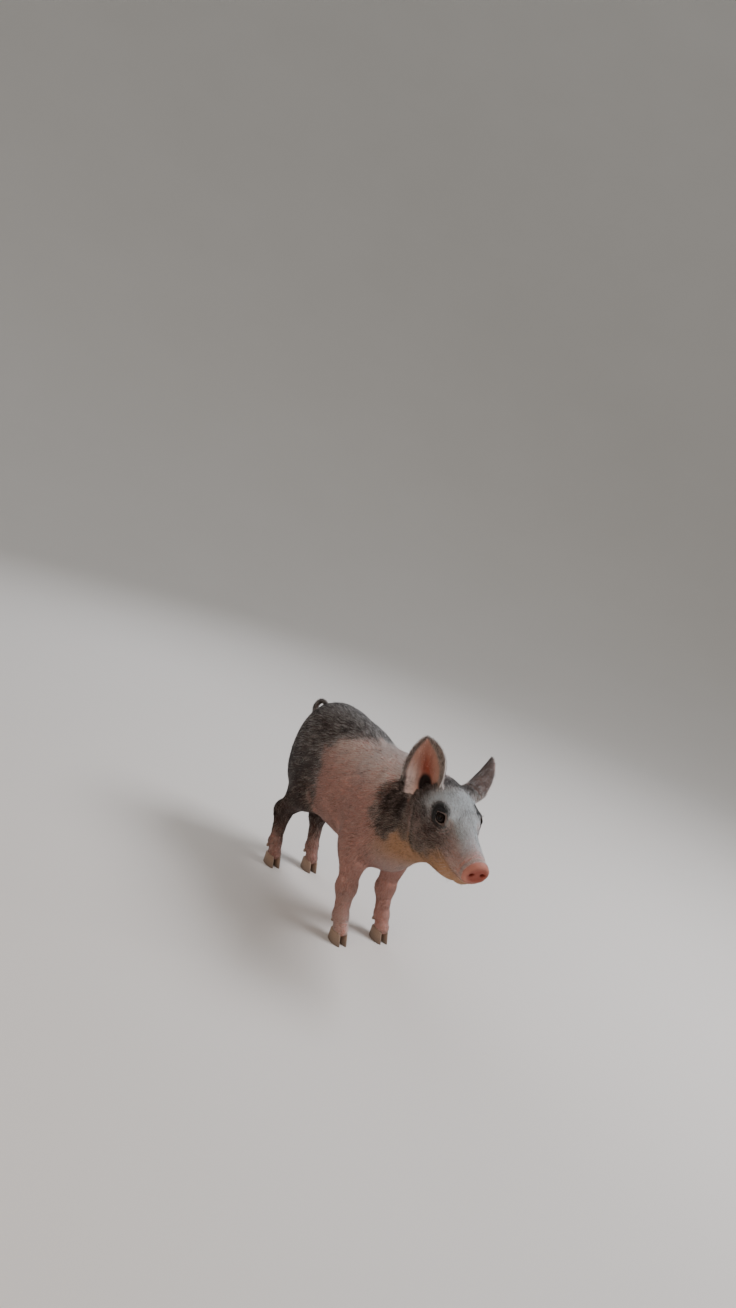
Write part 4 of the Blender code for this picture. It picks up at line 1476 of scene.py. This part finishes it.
@dataclass
class Coat:
    """Short bristles over the whole hide: scattered, combed along the lie, and coloured."""

    hide: Hide
    count: int = 350_000
    piece: int = 48_000  # locks in a piece, four triangles each
    seed: int = 7
    on_body: float = 0.0105  # lengths in metres, region by region
    on_crest: float = 0.0030  # what the crest of the back adds
    on_head: float = 0.0064
    on_muzzle: float = 0.0034
    on_leg: float = 0.0068
    on_foot: float = 0.0042
    on_ear: float = 0.0046
    on_tail: float = 0.0080

    def sizes(self, places: Places, chance: Array) -> tuple[Array, Array, Array]:
        """Length, width and lift of each lock, smallest on the face and the feet.

        Args:
            places: the roots, read.
            chance: random numbers, four for each lock.

        Returns:
            Three arrays in metres.
        """
        forward = places.local[:, 0]
        points = places.points
        crest = hump(points[:, 1], 0.0, 0.022) * eased(points[:, 2], 0.325, 0.350)
        length = self.on_body + self.on_crest * (crest * (1 - places.head))
        length = length + (self.on_head - length) * places.head
        length = length + (self.on_muzzle - length) * eased(forward, 0.085, 0.150) * places.head
        foot = eased(-points[:, 2], -0.07, -0.03)
        for own, share in ((self.on_leg, places.leg), (self.on_foot, foot),
                           (self.on_ear, places.ear), (self.on_tail, places.tail)):
            length = length + (own - length) * share
        length = length * (0.70 + 0.60 * chance[:, 0])
        away, _ = places.eye()
        length = length * (0.55 + 0.45 * eased(away, 0.014, 0.024))
        width = 0.00013 + 0.032 * length
        lift = length * (0.05 + 0.08 * chance[:, 1]) + 0.00025
        lift = np.where(chance[:, 2] > 0.965, lift * 2.8, lift)
        fringe = eased(places.rim, -0.0035, 0.0) * places.ear
        length = length + 0.0015 * fringe
        lift = lift + 0.0006 * fringe
        return length, width, lift

    def combing(self, places: Places, chance: Array) -> Array:
        """The way the hair lies: back along the body, down the legs, out along the ears.

        Args:
            places: the roots, read.
            chance: random numbers, four for each lock.

        Returns:
            A unit vector in the hide's plane for each lock.
        """
        points, normals, local = places.points, places.normals, places.local
        flank = eased(np.abs(normals[:, 1]), 0.3, 0.9)
        rear = eased(-points[:, 0], 0.120, 0.190)
        chest = eased(points[:, 0], 0.12, 0.18) * eased(-points[:, 2], -0.30, -0.22)
        back = np.full(len(points), -1.0) + 0.7 * np.maximum(rear, chest)
        down = -0.15 - 0.50 * flank - 0.9 * np.maximum(rear, chest)
        lie = np.stack((back, 0.06 * places.side, down), -1)
        lie = lie + places.leg[:, None] * (np.array((0.75, 0.0, -1.1)))
        cheek = eased(-local[:, 2], -0.01, 0.03) * eased(0.13 - local[:, 0], 0.0, 0.05)
        on_face = np.stack((np.full(len(points), -1.0), 0.10 * places.side, 0.10 - 0.7 * cheek), -1)
        lie = lie + places.head[:, None] * (on_face @ HEAD.axes.T - lie)
        for ear in places.body.ears:
            along = ear.setting.axes[:, 0]
            lie = np.where(
                ((places.ear > 0.1) & (places.side == ear.side.value))[:, None], along, lie
            )
        path = places.body.tail.path
        step = np.clip((places.tail_share * (len(path) - 1)).astype(int), 0, len(path) - 2)
        lie = np.where(places.tail[:, None] > 0.5, path[step + 1] - path[step], lie)
        lie = unit(lie - np.sum(lie * normals, 1)[:, None] * normals)
        swirl = 0.20 * value_noise(points, 0.040, 31) + 0.17 * (chance[:, 3] - 0.5) * 2
        swirl = swirl + 0.09 * value_noise(points, 0.009, 32)
        return unit(lie + np.cross(normals, lie) * np.tan(swirl)[:, None])

    def density(self, places: Places) -> Array:
        """Locks for each square metre, before all are scaled to the count."""
        forward = places.local[:, 0]
        dense = 0.8e6 + 1.5e6 * places.head + 0.5e6 * places.leg + 1.0e6 * places.tail
        dense = dense + 0.9e6 * eased(forward, 0.09, 0.15) * places.head
        within = 0.10e6 + 1.6e6 * places.ear_band(-0.0130, -0.0050)
        dense = dense + places.ear * (1.2e6 - dense + 0.8e6)
        dense = np.where(places.inside > 0.5, within, dense)
        dense = np.where(forward > 0.1795, 0.0, dense)
        away, edge = places.eye()
        dense = np.where((edge < 0.26) & (away < 0.018), 0.0, dense)
        dense = dense * (0.20 + 0.80 * eased(away, 0.0130, 0.0170))
        dense = np.where((places.inside > 0.5) & (places.canal < 1.2), 0.0, dense)
        dense = np.where(places.points[:, 2] < HORN_TOP, 0.0, dense)
        under = eased(-places.normals[:, 2], 0.6, 0.9) * (1 - places.head)
        return dense * (1 - 0.45 * under) * (forward < 0.19)

    def atlas(self, places: Places) -> Array:
        """A flat unwrap of the hide: trunk and head by angle and length, the rest in tiles.

        The trunk's angle about its own axis runs up the lower 0.55 of the square, the legs
        stand in four tiles over it, and the ears' two faces and the tail in five on top.

        Args:
            places: points of the hide, read.

        Returns:
            One place from 0 to 1 in both ways for each point.
        """
        points, sign = places.points, places.side
        middle = np.interp(points[:, 0], (-0.2, 0.15, 0.40), (0.270, 0.262, 0.300))
        angle = np.arctan2(points[:, 1] + 0.03 * places.head, points[:, 2] - middle) / (2 * np.pi)
        spot = np.stack(((points[:, 0] + 0.26) / 0.67, 0.55 * (angle + 0.5)), -1)
        rear = points[:, 0] < -0.02
        tile = 2 * rear + (sign > 0)
        legs = sorted(places.body.legs, key=lambda leg: (not leg.fore, leg.side.value))
        for index, leg in enumerate(legs):
            axis = np.array(leg.joints)
            x = np.interp(points[:, 2], axis[::-1, 2], axis[::-1, 0])
            y = np.interp(points[:, 2], axis[::-1, 2], axis[::-1, 1])
            around = np.arctan2(points[:, 1] - y, points[:, 0] - x) / (2 * np.pi) + 0.5
            own = np.stack((0.25 * index + 0.24 * around, 0.56 + 1.05 * points[:, 2]), -1)
            spot = np.where(((places.leg > 0.35) & (tile == index))[:, None], own, spot)
        ear_tile = 2 * (places.inside > 0.5) + (sign > 0)
        own = np.stack((0.2 * ear_tile + 0.10 + 1.4 * places.ear_across,
                        0.79 + 0.18 * np.clip(places.share, 0, 1)), -1)
        spot = np.where((places.ear > 0.1)[:, None], own, spot)
        own = np.stack((0.82 + 0.17 * places.tail_share, 0.85 + 2.0 * points[:, 1]), -1)
        spot = np.where((places.tail > 0.5)[:, None], own, spot)
        return np.clip(spot, 0.0, 0.996)

    def scatter(self) -> Tufts:
        """Pick roots over the hide's triangles and give each its lock."""
        hide, rng = self.hide, np.random.default_rng(self.seed)
        corners = hide.points[hide.triangles]
        area = 0.5 * np.linalg.norm(
            np.cross(corners[:, 1] - corners[:, 0], corners[:, 2] - corners[:, 0]), axis=1
        )
        middles = Places(hide.body, corners.mean(axis=1), unit(hide.normals[hide.triangles].sum(1)))
        weight = area * self.density(middles)
        log.info("locks wanted by density: %d", weight.sum())
        picks = rng.choice(len(area), self.count, p=weight / weight.sum())
        share = np.sqrt(rng.random(self.count)), rng.random(self.count)
        mix = np.stack((1 - share[0], share[0] * (1 - share[1]), share[0] * share[1]), -1)
        roots = np.einsum("ij,ijk->ik", mix, corners[picks])
        normals = unit(np.einsum("ij,ijk->ik", mix, hide.normals[hide.triangles[picks]]))
        places = Places(hide.body, roots, normals)
        chance = rng.random((self.count, 4))
        length, width, lift = self.sizes(places, chance)
        sunk = np.einsum("ij,ij->i", mix, hide.heights[hide.triangles[picks]])
        lift = lift + 0.9 * np.clip(-sunk - 0.0003, 0.0, 0.003)
        colours = hide.markings.hair(places, rng.random((self.count, 4)))
        lie = self.combing(places, chance)
        tufts = Tufts(roots, lie, normals, length, width, lift, colours, self.atlas(places))
        region = np.select((places.ear > 0.1, places.head > 0.5, places.leg > 0.5), (1, 2, 3), 0)
        return tufts.part(np.argsort(region * 1e3 + roots[:, 0], kind="stable"))

    def build(self) -> list[bpy.types.Object]:
        """All pieces of the coat."""
        tufts = self.scatter()
        numbers = np.array_split(np.arange(len(tufts)), math.ceil(len(tufts) / self.piece))
        return [tufts.part(part).build(f"coat_{index + 1}") for index, part in enumerate(numbers)]


@dataclass(frozen=True)
class Whiskers:
    """Lashes on the upper lids and long bristles on the muzzle, chin and brow."""

    hide: Hide
    muzzle: int = 90
    lashes: int = 34
    width: float = 0.00034
    seed: int = 11

    def build(self) -> bpy.types.Object:
        """All whiskers and lashes as one piece."""
        parts = [self.bristles(), *(self.lash_row(eye) for eye in self.hide.body.head.eyes)]
        names = Tufts.__dataclass_fields__
        joined = Tufts(*(np.concatenate([getattr(p, n) for p in parts]) for n in names))
        return joined.build("whiskers")

    def bristles(self) -> Tufts:
        """Long hairs at random on the lips and chin and over the eyes."""
        rng = np.random.default_rng(self.seed)
        local = HEAD.read(self.hide.points)
        forward, left, up = local.T
        lips = eased(forward, 0.105, 0.135) * (forward < 0.174) * (up < 0.002)
        brow = hump(forward, 0.082, 0.012) * hump(up, 0.040, 0.006) * (np.abs(left) > 0.015)
        weight = lips + 1.2 * brow
        picks = rng.choice(len(weight), self.muzzle, p=weight / weight.sum(), replace=False)
        normals = self.hide.normals[picks]
        back = np.tile(HEAD.axes @ np.array((-0.55, 0, -0.35)), (self.muzzle, 1))
        lie = unit(back + 0.55 * normals)
        lie = unit(lie + 0.15 * rng.standard_normal(lie.shape))
        length = 0.008 + 0.010 * rng.random(self.muzzle)
        shade = mixed(linear("#b9b2ae"), linear("#efeae6"), rng.random(self.muzzle))
        flat = np.full((self.muzzle, 2), 0.5)
        return Tufts(self.hide.points[picks], lie, unit(np.cross(np.cross(lie, normals), lie)),
                     length, np.full(self.muzzle, self.width), 0.08 * length, shade, flat)

    def lash_row(self, eye: EyeSetting) -> Tufts:
        """Lashes along the upper lid: each root lies on the lid's edge, just over the ball."""
        rng = np.random.default_rng(self.seed + eye.side.value)
        setting = eye.setting
        along = np.linspace(-0.80, 0.80, self.lashes) + 0.02 * rng.standard_normal(self.lashes)
        rising = eye.upper * (1 - np.abs(along / eye.half_angle) ** 2.2) + 0.12
        way = unit(np.stack((np.tan(along), np.tan(rising), np.ones_like(along)), -1))
        roots = np.array(setting.origin) + (way @ setting.axes.T) * (EYE_RADIUS + 0.0012)
        fanned = (0.8 * np.sin(along), np.full_like(along, 0.25), np.ones_like(along))
        lie = unit(np.stack(fanned, -1))
        lie = unit(lie @ setting.axes.T + 0.10 * rng.standard_normal(lie.shape))
        rise = np.tile(setting.axes[:, 1], (self.lashes, 1))
        length = 0.0050 + 0.0025 * rng.random(self.lashes)
        shade = mixed(linear("#1c1917"), linear("#8d8682"), rng.random(self.lashes) ** 2)
        upright = unit(rise - np.sum(rise * lie, 1)[:, None] * lie)
        return Tufts(roots, lie, upright, length, np.full(self.lashes, self.width),
                     0.10 * length, shade, np.full((self.lashes, 2), 0.5))


# ------------------------------------------------------------------ eyes and hooves
@dataclass(frozen=True)
class Eye:
    """An eyeball: a sphere with a cornea that bulges where it looks."""

    place: EyeSetting
    rings: int = 34
    columns: int = 48
    bulge: float = 0.055
    cornea: float = 0.55  # radians that the bulge reaches from the gaze

    def build(self) -> bpy.types.Object:
        """The ball: its radius grows by the bulge times a bell of the angle from the gaze."""
        setting = self.place.setting
        angle = (np.arange(self.rings) + 0.5) / self.rings * math.pi
        angle = np.concatenate(([0.0], angle, [math.pi]))
        radius = EYE_RADIUS * (1 + self.bulge * hump(angle, 0.0, self.cornea))
        around = np.arange(self.columns) / self.columns * 2 * math.pi
        flat = (radius * np.sin(angle))[1:-1, None]
        ring = np.stack(
            (flat * np.cos(around), flat * np.sin(around),
             np.repeat((radius * np.cos(angle))[1:-1, None], self.columns, 1)), -1
        ).reshape(-1, 3)
        local = np.concatenate(([[0, 0, radius[0]]], ring, [[0, 0, -radius[-1]]]))
        points = local @ setting.axes.T + np.array(setting.origin)
        faces = sheet_faces(self.rings, self.columns)
        if np.linalg.det(setting.axes) > 0:
            faces = [part[:, ::-1] for part in faces]
        ball = make_object(f"eyeball_{self.place.side.word}", points, faces)
        from_gaze = np.concatenate(([angle[0]], np.repeat(angle[1:-1], self.columns), [angle[-1]]))
        rate(ball, "from_gaze", np.clip(from_gaze, 0, 1))
        WetEye().dress(ball)
        return ball


@dataclass(frozen=True)
class Hoof:
    """The two claws and two dewclaws of a foot."""

    leg: Leg
    length: float = 0.0360
    width: float = 0.0165
    height: float = 0.0185
    apart: float = 0.0012
    columns: int = 40
    inner_narrow: float = 0.72  # the inner wall's bulge, as a share of the outer's
    toe_narrow: float = 0.30
    ripple: float = 0.0018  # the growth rings' height, as a share of the half width
    ripple_step: float = 0.0046
    dew_radius: float = 0.0042
    dew_half_length: float = 0.0075
    dew_lean: float = 38.0  # degrees

    def claw(self, way: int) -> tuple[Array, list[Array]]:
        """Half a cloven hoof: a flat almond sole, walls that lean back, a rounded coronet.

        At each level the outline is (a cos t, b sin t (1 - 0.3 max(cos t, 0) squared)), with
        the inner half narrowed to 0.72; fine rings make the walls ripple.

        Args:
            way: the sign of Y on which the claw's outer wall lies.

        Returns:
            The points and the faces.
        """
        coronet = self.leg.joints[3]
        spread = way * (self.width * 0.86 + self.apart) / 2
        level = np.concatenate(((0.0, 0.0, 0.0005, 0.0014), np.linspace(0.003, 0.0195, 16),
                                (0.0215, 0.0230)))
        share = level / self.height
        size = np.concatenate(((0.80, 0.94, 0.985, 1.0), np.ones(16), (0.90, 0.70)))
        size = size * (1 + self.ripple * np.cos(2 * np.pi * level / self.ripple_step))
        half_length = self.length * (0.50 - 0.08 * share) * size
        half_width = self.width * (0.50 - 0.06 * share) * size
        turn = np.arange(self.columns) / self.columns * 2 * math.pi
        cosine, sine = np.cos(turn), np.sin(turn)
        outline = sine * (1 - self.toe_narrow * np.clip(cosine, 0, None) ** 2)
        outline = outline * np.where(sine * way < 0, self.inner_narrow, 1.0)
        toe = np.clip(cosine, 0, None) ** 3 * 0.0012 * (1 - share[:, None])
        x = coronet[0] + 0.0035 - 0.0040 * share[:, None] + half_length[:, None] * cosine + toe
        y = coronet[1] + spread + half_width[:, None] * outline
        z = np.repeat(level[:, None], self.columns, 1)
        rings = np.stack((x, y, z), -1)
        poles = rings[[0, -1]].mean(axis=1)
        points = np.concatenate((poles[:1], rings.reshape(-1, 3), poles[1:]))
        return points, sheet_faces(len(level), self.columns)

    def dewclaw(self, way: int) -> tuple[Array, list[Array]]:
        """A small blunt horn behind the pastern: an ellipsoid that narrows to its tip."""
        coronet = self.leg.joints[3]
        rows, columns = 14, 20
        down = (np.arange(rows) + 0.5) / rows * math.pi
        turn = np.arange(columns) / columns * 2 * math.pi
        narrow = (1 - 0.25 * np.cos(down)) * np.sin(down) * (1 + 0.03 * np.cos(9 * down))
        ring = np.stack(
            (self.dew_radius * narrow[:, None] * np.cos(turn),
             self.dew_radius * narrow[:, None] * np.sin(turn),
             np.repeat(-self.dew_half_length * np.cos(down)[:, None], columns, 1)), -1
        ).reshape(-1, 3)
        tips = [[0, 0, -self.dew_half_length]], [[0, 0, self.dew_half_length]]
        local = np.concatenate((tips[0], ring, tips[1]))
        middle = (coronet[0] - 0.0185, coronet[1] + way * 0.0080, 0.0330)
        return local @ turned(pitch=self.dew_lean).T + np.array(middle), sheet_faces(rows, columns)

    def build(self) -> list[bpy.types.Object]:
        """The foot's four horn pieces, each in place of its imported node."""
        made = []
        for word, way in (("inner", -self.leg.side.value), ("outer", self.leg.side.value)):
            for kind, shape in (("claw", self.claw), ("dewclaw", self.dewclaw)):
                node = f"{self.leg.name}_{kind}_{word}_{self.leg.side.word}"
                horn = make_object(f"{node}_horn", *shape(way))
                Horn().dress(horn)
                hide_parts(node)
                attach(horn, "root")
                made.append(horn)
        return made


# ------------------------------------------------------------------ studio
@dataclass(frozen=True)
class SoftBox:
    """A square lamp: where it hangs, its side in metres, its watts and its colour."""

    name: str
    place: Spot
    size: float
    power: float
    colour: str

    def hang(self, target: Spot) -> None:
        """Hang the lamp so that it looks at the target."""
        lamp = bpy.data.lights.new(self.name, "AREA")
        lamp.size, lamp.energy = self.size, self.power
        lamp.color = linear(self.colour)
        thing = bpy.data.objects.new(self.name, lamp)
        bpy.context.scene.collection.objects.link(thing)
        back = unit(np.array(self.place) - np.array(target))
        right = unit(np.cross((0.0, 0.0, 1.0), back))
        axes = np.stack((right, np.cross(back, right), back), -1)
        thing.matrix_world = Matrix.LocRotScale(self.place, Matrix(axes).to_quaternion(), None)


@dataclass(frozen=True)
class Studio:
    """A pale floor that curves up far away, soft lights, and the camera."""

    lamps: tuple[SoftBox, ...] = (
        SoftBox("key", (0.9, 1.3, 2.2), 1.1, 66.0, "#fbfaff"),
        SoftBox("fill", (0.7, -2.2, 1.0), 2.0, 16.0, "#ffe0c6"),
        SoftBox("rear", (-1.8, 0.2, 1.5), 1.4, 12.0, "#f4f6ff"),
    )
    target: Spot = (0.0, 0.0, 0.22)
    sky_colour: str = "#f3f3f2"
    sky_strength: float = 0.50
    flat: float = 3.0  # metres out to where the floor starts to rise
    far: float = 12.0  # metres out to its edge, and the height there
    rings: int = 120
    spokes: int = 96

    camera_at: Spot = (1.24263, -1.06282, 0.77909)
    heading: float = 142.09  # degrees from +X, counter-clockwise
    down: float = 9.8
    roll: float = 20.3
    focus: float = 880.0  # focal length in steps of a frame that is frame_steps high
    frame_steps: float = 1308.0
    sensor: float = 36.0

    def lay_floor(self) -> bpy.types.Object:
        """A bowl: flat out to 3 m, then rising as the square of the way on, to 12 m at 12 m."""
        radius = np.linspace(0.02, self.far, self.rings)
        turn = np.arange(self.spokes) / self.spokes * 2 * math.pi
        rise = self.far * np.clip((radius - self.flat) / (self.far - self.flat), 0, None) ** 2
        ring = np.stack(
            (radius[:, None] * np.cos(turn), radius[:, None] * np.sin(turn),
             np.repeat(rise[:, None], self.spokes, 1)), -1
        ).reshape(-1, 3)
        points = np.concatenate(([[0, 0, 0]], ring)) - SHIFT * (1, 1, 0)
        quads, first, _ = sheet_faces(self.rings, self.spokes)
        floor = make_object("floor", points, [quads[:, ::-1], first[:, ::-1]])
        PaintedFloor().dress(floor)
        return floor

    def light(self) -> None:
        """Key from behind the left shoulder, fill from the camera's side, and an even sky."""
        for lamp in self.lamps:
            lamp.hang(self.target)
        world = bpy.data.worlds.new("sky")
        bpy.context.scene.world = world
        world.use_nodes = True
        sky = world.node_tree.nodes["Background"]
        sky.inputs["Color"].default_value = opaque(self.sky_colour)
        sky.inputs["Strength"].default_value = self.sky_strength

    def set_camera(self) -> None:
        """The camera: its heading, downward tilt and roll turned into axes."""
        yaw, down, roll = (math.radians(v) for v in (self.heading, self.down, self.roll))
        ahead = np.array(
            (math.cos(yaw) * math.cos(down), math.sin(yaw) * math.cos(down), -math.sin(down))
        )
        level = np.array((math.sin(yaw), -math.cos(yaw), 0.0))
        upright = np.cross(level, ahead)
        right = math.cos(roll) * level + math.sin(roll) * upright
        up = math.cos(roll) * upright - math.sin(roll) * level
        data = bpy.data.cameras.new("camera")
        data.sensor_width = self.sensor
        data.lens = self.focus * self.sensor / self.frame_steps
        data.clip_start = 0.05
        camera = bpy.data.objects.new("camera", data)
        bpy.context.scene.collection.objects.link(camera)
        axes = Matrix(np.stack((right, up, -ahead), -1))
        place = np.array(self.camera_at) + SHIFT
        camera.matrix_world = Matrix.LocRotScale(place.tolist(), axes.to_quaternion(), None)
        bpy.context.scene.camera = camera


FLESH = ("trunk", "neck", "head", "snout", "lower_jaw", "tail", "ear_left", "ear_right") + tuple(
    f"{leg}_{part}_{side.word}"
    for leg, part, side in product(("fore", "hind"), ("upper", "shank", "foot"), Side)
)


def main() -> None:
    """Build the piglet and its studio, piece by piece."""
    logging.basicConfig(level=logging.INFO, format="%(name)s: %(message)s")
    studio = Studio()
    studio.set_camera()
    studio.lay_floor()
    studio.light()
    body = Body()
    hide = Hide(body, Markings())
    skin = hide.build()
    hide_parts(*FLESH)
    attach(skin, "root")
    log.info("hide: %d triangles", len(hide.triangles))
    for eye in body.head.eyes:
        ball = Eye(eye).build()
        node = f"eye_{eye.side.word}"
        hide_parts(node)
        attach(ball, "root")
        log.info("eye: %s", node)
    for leg in body.legs:
        horns = Hoof(leg).build()
        log.info("hoof: %s %s, %d pieces", leg.name, leg.side.word, len(horns))
    coats = Coat(hide).build() + [Whiskers(hide).build()]
    for coat in coats:
        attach(coat, "root")
        log.info("coat: %s, %d polygons", coat.name, len(coat.data.polygons))


if __name__ == "__main__":
    main()
